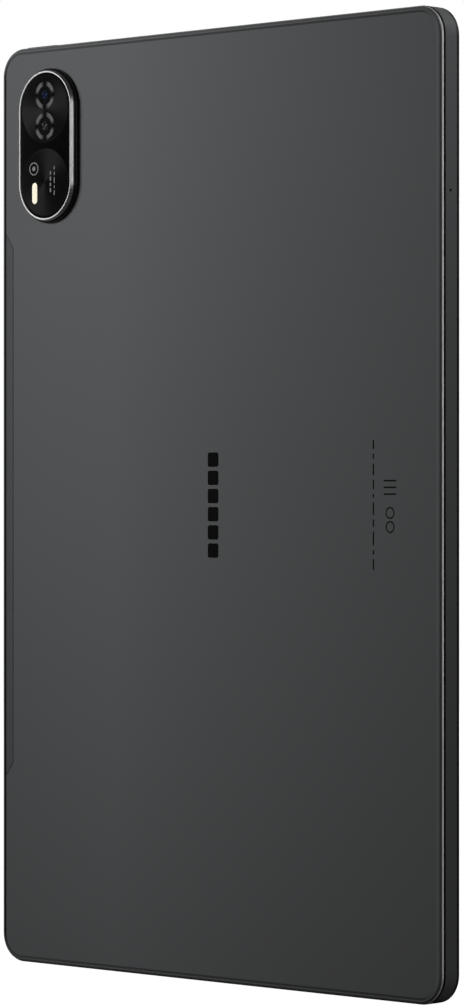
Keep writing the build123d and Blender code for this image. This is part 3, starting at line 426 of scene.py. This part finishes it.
# Painted dark reflection: black band on the glossy curve into the wall
paintedDarkReflection = softPlastic("paintedDarkReflection", grey(0.002), 0.3, 3000.0, 0.05, 0.1, 0.08)
islandBlack = softPlastic("islandBlack", grey(0.004), 0.22, 1800.0, 0.05)
printBlack = softPlastic("printBlack", grey(0.006), 0.3, 3000.0, 0.1)
printSilver = softPlastic("printSilver", grey(0.2), 0.4, 3000.0, 0.1)
flashCream = softPlastic("flashCream", (0.95, 0.9, 0.72, 1.0), 0.25, 1500.0, 0.1, 0.04)
mouldedBlack = softPlastic("mouldedBlack", grey(0.02), 0.5)
foamBlack = softPlastic("foamBlack", grey(0.03), 0.9, 1200.0, 0.6)
whitePan = softPlastic("whitePan", grey(0.75), 0.5)
batteryFilm = softPlastic("batteryFilm", grey(0.05), 0.35, 400.0, 0.3)
amberFlex = softPlastic("amberFlex", (0.32, 0.15, 0.04, 1.0), 0.3)
stretchFilm = softPlastic("stretchFilm", grey(0.7), 0.6)
sealRubber = softPlastic("sealRubber", grey(0.02), 0.7, 1500.0, 0.4)
plainSteel = sheetMetal("plainSteel", grey(0.55), 0.3)
tinnedSheet = sheetMetal("tinnedSheet", grey(0.6), 0.38, (1.0, 1.0, 30.0))
satinAlloy = sheetMetal("satinAlloy", grey(0.5), 0.4)
goldPlate = sheetMetal("goldPlate", (0.8, 0.58, 0.25, 1.0), 0.2)
copperWire = sheetMetal("copperWire", (0.7, 0.3, 0.15, 1.0), 0.3, (1.0, 1.0, 40.0))
wovenSteel = sheetMetal("wovenSteel", grey(0.08), 0.5, (30.0, 1.0, 30.0))
laminate = circuitLaminate("laminate")
print("finishes made")

nodeFinish = {
    "rear_shell": shellMetal, "pen_strip_window": stripInlay, "front_frame": rimPolymer,
    "lcd_panel": mouldedBlack, "backlight_unit": whitePan, "display_cushion": foamBlack,
    "mid_frame": satinAlloy, "frame_screws": plainSteel, "camera_decor": mouldedBlack,
    "main_camera": mouldedBlack, "second_camera": mouldedBlack, "flash_board": laminate,
    "camera_bracket": satinAlloy, "front_camera": mouldedBlack, "mainboard": laminate,
    "processor_shield": tinnedSheet, "radio_shield": tinnedSheet, "board_chips": mouldedBlack,
    "board_screws": plainSteel, "battery_cell_left": batteryFilm, "battery_cell_right": batteryFilm,
    "battery_adhesive": stretchFilm, "battery_board": laminate, "speaker_top_left": mouldedBlack,
    "speaker_top_right": mouldedBlack, "speaker_bottom_left": mouldedBlack,
    "speaker_bottom_right": mouldedBlack, "speaker_meshes": wovenSteel, "usb_c_shell": plainSteel,
    "usb_c_tongue": mouldedBlack, "usb_c_contacts": goldPlate, "usb_board": laminate,
    "main_flex": amberFlex, "display_flex": amberFlex, "power_button": keyMetal,
    "power_switch": mouldedBlack, "power_bracket": satinAlloy, "volume_rocker": keyMetal,
    "volume_switches": mouldedBlack, "volume_bracket": satinAlloy, "rocker_pin": plainSteel,
    "sim_tray": keyMetal, "tray_seal": sealRubber, "card_reader": plainSteel, "eject_pin": plainSteel,
    "eject_lever": plainSteel, "eject_slider": mouldedBlack, "side_microphone": mouldedBlack,
    "vibration_motor": plainSteel, "pen_charging_coil": copperWire, "edge_magnets": plainSteel,
    "antenna_strips": amberFlex,
}
for nodeName, finish in nodeFinish.items():
    node = nodes[nodeName]
    node.data.materials.clear()
    node.data.materials.append(finish)
print("frame nodes finished")


# Camera island and edge bands; lengths given as bare numbers are in millimetres

islandShape = {
    "buried": 0.3 * mm,
    "flangeWall": 0.55,
    "flangeSoft": 0.25 * mm,
    "softSteps": 5,
    "flangeWidth": 1.2 * mm,
    "flangeReach": 2.5 * mm,
    "trimLip": 0.05 * mm,
    "lipHeight": 0.12 * mm,
    "rimBevel": 0.06 * mm,
    "rimFall": 0.01 * mm,
    "rimDrop": 0.14 * mm,
    "glassBevel": ((0.0, 0.12), (0.04, 0.04), (0.12, 0.0)),
    "rimWidth": 0.26 * mm,
    "sideLean": 0.35 * mm,
    "footOut": 0.05 * mm,
    "bandShare": 0.6,
    "steps": 64,
}


def islandOutline(inset):
    halfWide = (islandHigh.x - islandLow.x) / 2 - inset
    halfTall = (islandHigh.z - islandLow.z) / 2 - inset
    return stadiumLoop(islandCentre, halfWide, halfTall, islandShape["steps"])


def makeIslandBase():
    top = islandHigh.y
    soft = islandShape["flangeSoft"]
    wallTop = backY + islandShape["flangeWall"] * (top - backY)
    loops = [(islandOutline(0.0), backY - islandShape["buried"]), (islandOutline(0.0), wallTop)]
    for i in range(1, islandShape["softSteps"] + 1):
        angle = math.radians(90 * i / islandShape["softSteps"])
        inset = soft * (1 - math.cos(angle))
        rise = top - soft + soft * math.sin(angle)
        loops.append((islandOutline(inset), rise))
    loops.append((islandOutline(islandShape["flangeWidth"]), top))
    loops.append((islandOutline(islandShape["flangeReach"]), top))
    points, faces = loftLoops(loops)
    piece = meshPiece("islandBase", points, faces, islandBlack, "tablet")
    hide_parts("camera_base")


def makeIslandTrim():
    low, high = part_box("camera_trim")
    outer = low.x - islandLow.x
    lean = islandShape["sideLean"]
    rim = islandShape["rimWidth"]
    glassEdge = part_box("camera_glass")[0].x - islandLow.x
    foot = outer - islandShape["footOut"]
    lipBase = high.y - islandShape["lipHeight"]
    lipTop = high.y - islandShape["trimLip"]
    bandStart = lipBase - islandShape["bandShare"] * (lipBase - low.y - 0.1 * mm)
    side = [
        (islandOutline(foot), low.y),
        (islandOutline(foot), bandStart),
        (islandOutline(outer + lean), lipBase),
        (islandOutline(outer + lean), lipTop),
    ]
    points, faces = loftLoops(side)
    piece = meshPiece("islandTrimSide", points, faces, trimSide, "tablet", 25.0)
    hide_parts("camera_trim")
    top = [
        (islandOutline(outer + lean), lipTop),
        (islandOutline(outer + lean + islandShape["rimBevel"]), high.y),
        (islandOutline(outer + lean + rim), high.y - islandShape["rimFall"]),
        (islandOutline(glassEdge), high.y - islandShape["rimDrop"]),
        (islandOutline(glassEdge), low.y),
    ]
    points, faces = loftLoops(top)
    piece = meshPiece("islandTrimRim", points, faces, polishedTrim, "tablet", 25.0)
    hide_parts("camera_trim")


def makeIslandGlass():
    low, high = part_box("camera_glass")
    inset = low.x - islandLow.x
    loops = [(islandOutline(inset), low.y)]
    for into, drop in islandShape["glassBevel"]:
        loops.append((islandOutline(inset + into * mm), high.y - drop * mm))
    points, faces = loftLoops(loops, capLast=True)
    piece = meshPiece("islandGlass", points, faces, islandGlassFinish(islandCentre), "tablet")
    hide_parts("camera_glass")


lensRows = []
ringLow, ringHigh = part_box("lens_rings")
lensX = (ringLow.x + ringHigh.x) / 2
ringRadius = (ringHigh.x - ringLow.x) / 2
for row, level in (("Upper", ringHigh.z - ringRadius), ("Lower", ringLow.z + ringRadius)):
    lensRows.append((row, (lensX, level)))

lensShape = {
    "ringTop": 0.02 * mm,
    "ringProfile": ((0.0, 0.03), (0.06, 0.05), (1.15, 0.03), (1.25, 0.0)),
    "buried": 0.3 * mm,
    "arcs": 4.0,
    "domeRise": 0.05 * mm,
    "domeSteps": 12,
    "steps": 96,
    "upperGlint": (0.05, 0.09, 0.32, 1.0),
    "lowerGlint": (0.22, 0.22, 0.24, 1.0),
}


def latheRing(centre, profile, steps):
    return loftLoops([(roundLoop(centre, radius, steps), y) for radius, y in profile])


def domeProfile(radius, base, rise, steps):
    # From the rim to the crown, stopping just short of the axis
    profile = []
    for i in range(steps + 1):
        share = i / steps
        profile.append((radius * (1 - share) + 0.0001 * mm, base + rise * math.sin(share * math.pi / 2)))
    return profile


def makeLenses():
    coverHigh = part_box("camera_glass")[1].y
    rise = coverHigh + lensShape["ringTop"]
    for row, centre in lensRows:
        profile = [(ringRadius, coverHigh - lensShape["buried"])]
        for into, lift in lensShape["ringProfile"]:
            profile.append((ringRadius - into * mm, rise + lift * mm))
        points, faces = latheRing(centre, profile, lensShape["steps"])
        finish = ringFinish("ringSheen" + row, centre, lensShape["arcs"], math.pi)
        piece = meshPiece("lensRing" + row, points, faces, finish, "tablet", 25.0)
        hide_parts("lens_rings")
        inner = profile[-1][0]
        dome = domeProfile(inner, rise, lensShape["domeRise"], lensShape["domeSteps"])
        points, faces = latheRing(centre, dome, lensShape["steps"])
        # Colour of the painted glint in the pupil
        tint = lensShape["upperGlint"] if row == "Upper" else lensShape["lowerGlint"]
        finish = barrelFinish("barrel" + row, centre, tint)
        piece = meshPiece("lensCover" + row, points, faces, finish, "tablet", 60.0)
        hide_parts("lens_covers")


flashShape = {
    "profile": ((0.0, -0.3), (0.0, 0.01), (0.06, 0.045), (0.2, 0.06), (0.6, 0.065)),
    "steps": 24,
    "glow": (1.0, 0.93, 0.72, 1.0),
    "glowStrength": 0.08,
}


def makeFlash():
    low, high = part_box("flash_lens")
    centre = ((low.x + high.x) / 2, (low.z + high.z) / 2)
    halfWide = (high.x - low.x) / 2
    halfTall = (high.z - low.z) / 2
    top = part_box("camera_glass")[1].y
    loops = []
    for inset, rise in flashShape["profile"]:
        loop = stadiumLoop(centre, halfWide - inset * mm, halfTall - inset * mm, flashShape["steps"])
        loops.append((loop, top + rise * mm))
    points, faces = loftLoops(loops, capLast=True)
    shader = next(n for n in flashCream.node_tree.nodes if n.type == "BSDF_PRINCIPLED")
    # Painted light: the flash window glows faintly, though it is no lamp
    shader.inputs["Emission Color"].default_value = flashShape["glow"]
    shader.inputs["Emission Strength"].default_value = flashShape["glowStrength"]
    piece = meshPiece("flashWindow", points, faces, flashCream, "tablet")
    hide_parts("flash_lens")


# Insets from the outline and depths below the back
edgeShape = {
    # The first band carries painted shade and a painted highlight
    "seam": ((1.95, 0.004), (1.3, 0.004)),
    "shoulder": ((0.86, 0.0), (0.45, 0.28), (0.3, 0.55)),
    "bevel": ((0.3, 0.55), (0.25, 0.64), (0.1, 0.9)),
    # The last band is painted black as a dark reflection
    "line": ((0.1, 0.9), (0.08, 0.93), (0.0, 1.12), (0.0, 1.63)),
    "proud": 0.012,
    "corner": 8.5,
    "steps": 32,
}


def edgeLoop(inset, depth):
    # Outline of the tablet at an inset, at a depth down from the back
    out = inset - edgeShape["proud"]
    radius = (edgeShape["corner"] - out) * mm
    loop = boxLoop((0.0, midZ), halfWidth - out * mm, midZ - out * mm, radius, edgeShape["steps"])
    return loop, backY + (edgeShape["proud"] - depth) * mm


slopeShadeLook = {
    # Tones of the painted shade and the painted highlight at the back's edge
    "paintedShadeTone": 0.004,
    "endShadeTone": 0.06,
    "highlightTones": (0.14, 0.16),
    "highlightWithin": (1.9 * mm, 7.0 * mm),
    "endShadeWithin": (9.0 * mm, 2.6 * mm),
}


def slopeShadeFinish():
    # Painted shade line at +X where a slight slope faces away from the light, lighter painted shade along
    # the top and bottom, and a painted highlight of lighter metal at -X
    finish, tree, shader = startFinish("slopeShadeFinish", Metallic=0.08, Specular_IOR_Level=0.12)
    point = objectPoint(tree)
    axes = splitPoint(tree, point)
    start, end = slopeShadeLook["highlightWithin"]
    highlightMask = ramp(tree, axes["X"], -halfWidth + start, -halfWidth + end, 1.0, 0.0)
    wear = grain(tree, point, 2500.0, 3.0)
    highlightMetal = mixColour(tree, wear, *(grey(tone, 0.05) for tone in slopeShadeLook["highlightTones"]))
    fromMidZ = maths(tree, "ABSOLUTE", maths(tree, "SUBTRACT", axes["Z"], midZ))
    start, end = slopeShadeLook["endShadeWithin"]
    endShade = ramp(tree, fromMidZ, midZ - start, midZ - end, 0.0, 1.0)
    paintedShade = mixColour(tree, endShade, grey(slopeShadeLook["paintedShadeTone"]), grey(slopeShadeLook["endShadeTone"], 0.05))
    tree.links.new(mixColour(tree, highlightMask, paintedShade, highlightMetal), shader.inputs["Base Color"])
    setRoughness(tree, shader, wear, 0.45, 0.05)
    addBump(tree, shader, wear, 0.2, 0.00001)
    return finish


def makeEdgeBands():
    bands = (
        ("seam", slopeShadeFinish(), 35.0), ("shoulder", rolledShoulder, 20.0),
        ("bevel", cutBevel, 60.0), ("line", paintedDarkReflection, 20.0),
    )
    for part, finish, smooth in bands:
        points, faces = loftLoops([edgeLoop(inset, depth) for inset, depth in edgeShape[part]])
        piece = meshPiece("edge" + part.capitalize(), points, faces, finish, "tablet", smooth)


makeEdgeBands()
makeIslandBase()
makeIslandTrim()
makeIslandGlass()
makeLenses()
makeFlash()
print("camera island made")


# Prints: plain shapes in place of every marking

printLook = {
    "thickness": 0.01 * mm,
    "ringSteps": 48,
}


def printPatch(name, outlines, surfaceY, material):
    # Flat printed patches, each a filled outline with a thin edge
    points = []
    faces = []
    for outline in outlines:
        start = len(points)
        loops = [(outline, surfaceY), (outline, surfaceY + printLook["thickness"])]
        patch, skin = loftLoops(loops, capLast=True)
        points.extend(patch)
        faces.extend(tuple(i + start for i in face) for face in skin)
    piece = meshPiece(name, points, faces, material, "tablet")


def printRing(name, centres, radius, width, surfaceY, material):
    # Flat printed rings of the given line width
    points = []
    faces = []
    top = surfaceY + printLook["thickness"]
    for centre in centres:
        start = len(points)
        outer = roundLoop(centre, radius, printLook["ringSteps"])
        inner = roundLoop(centre, radius - width, printLook["ringSteps"])
        patch, skin = loftLoops([(outer, surfaceY), (outer, top), (inner, top), (inner, surfaceY)])
        points.extend(patch)
        faces.extend(tuple(i + start for i in face) for face in skin)
    piece = meshPiece(name, points, faces, material, "tablet")


backPrint = {
    "length": 30.9 * mm,
    "height": 4.4 * mm,
    "count": 6,
    "gap": 1.1 * mm,
    "across": -0.9 * mm,
    "corner": 0.7 * mm,
    "steps": 6,
}


def makeBackPrint():
    # Six plain rounded tiles in a row
    pitch = (backPrint["length"] + backPrint["gap"]) / backPrint["count"]
    halfWide = backPrint["height"] / 2
    halfTall = (pitch - backPrint["gap"]) / 2
    tiles = []
    for i in range(backPrint["count"]):
        z = midZ + pitch * (i + 0.5 - backPrint["count"] / 2)
        middle = (backPrint["across"], z)
        tiles.append(boxLoop(middle, halfWide, halfTall, backPrint["corner"], backPrint["steps"]))
    printPatch("backPrint", tiles, backY, printBlack)


sidePrint = {
    "lineX": -65.0 * mm,
    "lineLength": 36.9 * mm,
    "dashes": (3.2, 1.4, 4.0, 2.2, 3.6, 1.2, 2.8, 3.4, 1.6, 2.6),
    "dashGap": 1.2 * mm,
    "dashWidth": 0.5 * mm,
    "dashCorner": 0.2 * mm,
    "symbolX": -71.4 * mm,
    "ringDrops": (2.2, 6.2),
    "ringRadius": 1.7 * mm,
    "ringLine": 0.4 * mm,
    "barRises": (3.1, 5.0, 6.9),
    "barHalf": (2.4 * mm, 0.22 * mm),
    "barCorner": 0.15 * mm,
    "steps": 4,
}


def makeSidePrint():
    dashes = []
    total = sum(sidePrint["dashes"]) * mm + sidePrint["dashGap"] * (len(sidePrint["dashes"]) - 1)
    scale = sidePrint["lineLength"] / total
    z = midZ - sidePrint["lineLength"] / 2
    for length in sidePrint["dashes"]:
        long = length * mm * scale
        middle = (sidePrint["lineX"], z + long / 2)
        half = sidePrint["dashWidth"] / 2
        dashes.append(boxLoop(middle, half, long / 2, sidePrint["dashCorner"], sidePrint["steps"]))
        z += long + sidePrint["dashGap"] * scale
    printPatch("sidePrintDashes", dashes, backY, printBlack)
    x = sidePrint["symbolX"]
    rings = [(x, midZ - drop * mm) for drop in sidePrint["ringDrops"]]
    radius = sidePrint["ringRadius"]
    printRing("sidePrintRings", rings, radius, sidePrint["ringLine"], backY, printBlack)
    bars = []
    for rise in sidePrint["barRises"]:
        middle = (x, midZ + rise * mm)
        bars.append(boxLoop(middle, *sidePrint["barHalf"], sidePrint["barCorner"], sidePrint["steps"]))
    printPatch("sidePrintBars", bars, backY, printBlack)


# Sides, drops and lengths of the rows are in millimetres, from the middle of the island
islandPrint = {
    "markSide": 4.9 * mm,
    "markDrop": 6.9 * mm,
    "markRadius": 2.0 * mm,
    "markLine": 0.35 * mm,
    "dotRadius": 0.7 * mm,
    "dotSteps": 32,
    "rows": (
        {"side": 2.5, "drop": 14.3, "halfWide": 0.28, "dashes": (1.2, 1.0, 1.3, 1.1)},
        {"side": 4.2, "drop": 15.3, "halfWide": 0.18, "dashes": (1.5, 0.9, 1.8, 1.1, 1.2)},
    ),
    "dashGap": 0.6 * mm,
    "corner": 0.12 * mm,
    "steps": 4,
}


def makeIslandPrint():
    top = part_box("camera_glass")[1].y
    mark = (islandCentre[0] + islandPrint["markSide"], islandCentre[1] - islandPrint["markDrop"])
    radius = islandPrint["markRadius"]
    printRing("islandMarkRing", [mark], radius, islandPrint["markLine"], top, printSilver)
    dot = roundLoop(mark, islandPrint["dotRadius"], islandPrint["dotSteps"])
    printPatch("islandMarkDot", [dot], top, printSilver)
    lines = []
    for row in islandPrint["rows"]:
        z = islandCentre[1] - row["drop"] * mm
        for length in row["dashes"]:
            long = length * mm
            middle = (islandCentre[0] - row["side"] * mm, z + long / 2)
            half = row["halfWide"] * mm
            lines.append(boxLoop(middle, half, long / 2, islandPrint["corner"], islandPrint["steps"]))
            z += long + islandPrint["dashGap"]
    printPatch("islandPrintLines", lines, top, printSilver)


stripSeam = {
    "width": 0.22 * mm,
    "inner": 5.07 * mm,
    "corner": 1.7 * mm,
    "slope": 4.3 * mm,
}


def makeStripSeam():
    # Fine joint line round the inlay on the flat of the back
    low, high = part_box("pen_strip_window")
    half = (high.z - low.z) / 2
    cornerX = halfWidth - stripSeam["corner"]
    innerX = halfWidth - stripSeam["inner"]
    path = [
        (cornerX, midZ + half), (innerX, midZ + half - stripSeam["slope"]),
        (innerX, midZ - half + stripSeam["slope"]), (cornerX, midZ - half),
    ]
    wide = stripSeam["width"] / 2
    points = []
    faces = []
    for (x0, z0), (x1, z1) in zip(path, path[1:]):
        run = math.hypot(x1 - x0, z1 - z0)
        sideX = -(z1 - z0) / run * wide
        sideZ = (x1 - x0) / run * wide
        start = len(points)
        corners = [
            (x0 - sideX, z0 - sideZ), (x1 - sideX, z1 - sideZ),
            (x1 + sideX, z1 + sideZ), (x0 + sideX, z0 + sideZ),
        ]
        for lift in (0.0, printLook["thickness"]):
            points.extend((x, backY + lift, z) for x, z in corners)
        faces.append((start + 4, start + 5, start + 6, start + 7))
        for i in range(4):
            j = (i + 1) % 4
            faces.append((start + i, start + j, start + 4 + j, start + 4 + i))
    piece = meshPiece("stripSeam", points, faces, printBlack, "tablet")


makeBackPrint()
makeSidePrint()
makeIslandPrint()
makeStripSeam()
print("prints made")


# Front

frontShape = {
    "corner": 7.6 * mm,
    "cornerSteps": 24,
    "edgeSoft": 0.35 * mm,
    "edgeSteps": 8,
    "sideBorder": 9.5 * mm,
    "endBorder": 9.7 * mm,
}


def makeCoverGlass():
    low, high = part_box("front_glass")
    halfWide = (high.x - low.x) / 2
    halfTall = (high.z - low.z) / 2
    radius = frontShape["corner"]
    soft = frontShape["edgeSoft"]
    steps = frontShape["edgeSteps"]
    centre = (0.0, midZ)
    side = boxLoop(centre, halfWide, halfTall, radius, frontShape["cornerSteps"])
    loops = [(side, high.y), (side, low.y + soft)]
    for i in range(1, steps + 1):
        angle = math.radians(90 * i / steps)
        inset = soft * (1 - math.cos(angle))
        y = low.y + soft - soft * math.sin(angle)
        edge = boxLoop(centre, halfWide - inset, halfTall - inset, radius - inset, frontShape["cornerSteps"])
        loops.append((edge, y))
    points, faces = loftLoops(loops, capFirst=True, capLast=True)
    finish = screenFinish(halfWidth - frontShape["sideBorder"], midZ - frontShape["endBorder"])
    piece = meshPiece("coverGlass", points, faces, finish, "tablet")
    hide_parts("front_glass")


# Radii and heights over the glass, in millimetres
eyeShape = {
    "ring": ((1.35, -0.05), (1.35, 0.004), (1.1, 0.006), (1.0, -0.0005)),
    "pupil": 1.0 * mm,
    "pupilLift": 0.001 * mm,
    "pupilRise": 0.004 * mm,
    # Colour of the painted glint in the pupil
    "tint": (0.05, 0.07, 0.2, 1.0),
    "steps": 48,
}


def makeFrontEye():
    # Ring and dark pupil of the front camera, just over the glass
    low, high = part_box("front_camera")
    centre = ((low.x + high.x) / 2, (low.z + high.z) / 2)
    ring = [(radius * mm, screenY - lift * mm) for radius, lift in eyeShape["ring"]]
    points, faces = latheRing(centre, ring, eyeShape["steps"])
    piece = meshPiece("frontEyeRing", points, faces, mouldedBlack, "tablet")
    base = screenY - eyeShape["pupilLift"]
    pupil = domeProfile(eyeShape["pupil"], base, -eyeShape["pupilRise"], 8)
    points, faces = latheRing(centre, pupil, eyeShape["steps"])
    finish = barrelFinish("frontPupil", centre, eyeShape["tint"])
    piece = meshPiece("frontEyePupil", points, faces, finish, "tablet")


makeCoverGlass()
makeFrontEye()
print("front made")


# Floor, light and camera

stageLook = {
    "floorTone": 0.1,
    "floorSize": 6.0,
    "ambient": 0.02,
}


def makeFloor():
    size = stageLook["floorSize"]
    data = bpy.data.meshes.new("floor")
    corners = [(-size, -size, 0), (size, -size, 0), (size, size, 0), (-size, size, 0)]
    data.from_pydata(corners, [], [(0, 1, 2, 3)])
    floor = bpy.data.objects.new("floor", data)
    bpy.context.scene.collection.objects.link(floor)
    finish, tree, shader = startFinish("paleFloor", Base_Color=grey(stageLook["floorTone"]), Roughness=0.9)
    path = addNode(tree, "ShaderNodeLightPath")
    shader.inputs["Emission Color"].default_value = grey(1.0)
    tree.links.new(path.outputs["Is Camera Ray"], shader.inputs["Emission Strength"])
    data.materials.append(finish)


def makeWorld():
    # White to the eye, dim for the light it gives, so the lamps shape the metal
    world = bpy.data.worlds.new("studio")
    bpy.context.scene.world = world
    world.use_nodes = True
    tree = world.node_tree
    tree.nodes.clear()
    out = addNode(tree, "ShaderNodeOutputWorld")
    seen = addNode(tree, "ShaderNodeBackground", {"Color": grey(1.0), "Strength": 1.0})
    light = addNode(tree, "ShaderNodeBackground", {"Color": grey(1.0), "Strength": stageLook["ambient"]})
    path = addNode(tree, "ShaderNodeLightPath")
    mix = addNode(tree, "ShaderNodeMixShader")
    tree.links.new(path.outputs["Is Camera Ray"], mix.inputs[0])
    tree.links.new(light.outputs[0], mix.inputs[1])
    tree.links.new(seen.outputs[0], mix.inputs[2])
    tree.links.new(mix.outputs[0], out.inputs[0])


tabletMiddle = (0.0, 0.0, midZ)
# In metres and watts; the key and front lamps light the surfaces without showing in the gloss
lamps = {
    "keyPanel": {
        "place": (0.34, 0.38, 0.33), "aim": (0.3, 0.0, 0.4), "size": (0.2, 0.2), "power": 3.2,
        "glossy": False,
    },
    "sidePanel": {
        "place": (-1.9, 0.5, 0.3), "aim": tabletMiddle, "size": (0.35, 1.6), "power": 5.0,
        "glossy": True,
    },
    "wallPanel": {
        "place": (-0.3, -0.12, 0.5), "aim": (0.0, -0.05, 0.45), "size": (0.15, 0.15), "power": 0.8,
        "glossy": True,
    },
    "frontPanel": {
        "place": (0.7, -1.3, 0.8), "aim": tabletMiddle, "size": (1.2, 1.2), "power": 22.0,
        "glossy": False,
    },
}


def makeLamps():
    for name, look in lamps.items():
        data = bpy.data.lights.new(name, "AREA")
        data.shape = "RECTANGLE"
        data.size, data.size_y = look["size"]
        data.energy = look["power"]
        lamp = bpy.data.objects.new(name, data)
        lamp.location = look["place"]
        aim = Vector(look["aim"]) - Vector(look["place"])
        lamp.rotation_euler = aim.to_track_quat("-Z", "Y").to_euler()
        lamp.visible_camera = False
        lamp.visible_glossy = look["glossy"]
        bpy.context.scene.collection.objects.link(lamp)


cameraPlace = {
    "turn": math.radians(44.72),
    "distance": 1.2713,
    "aimX": -8.7 * mm,
    "lens": 155.49,
    "rise": 0.0011,
}


def makeCamera():
    data = bpy.data.cameras.new("camera")
    data.lens = cameraPlace["lens"]
    data.sensor_width = 36.0
    data.shift_y = cameraPlace["rise"]
    camera = bpy.data.objects.new("camera", data)
    bpy.context.scene.collection.objects.link(camera)
    look = Vector((math.sin(cameraPlace["turn"]), -math.cos(cameraPlace["turn"]), 0.0))
    aim = Vector((cameraPlace["aimX"], backY, midZ))
    camera.location = aim - look * cameraPlace["distance"]
    camera.rotation_euler = look.to_track_quat("-Z", "Y").to_euler()
    bpy.context.scene.camera = camera


makeFloor()
makeWorld()
makeLamps()
makeCamera()
bpy.context.scene.view_settings.view_transform = "Standard"
print("stage set")
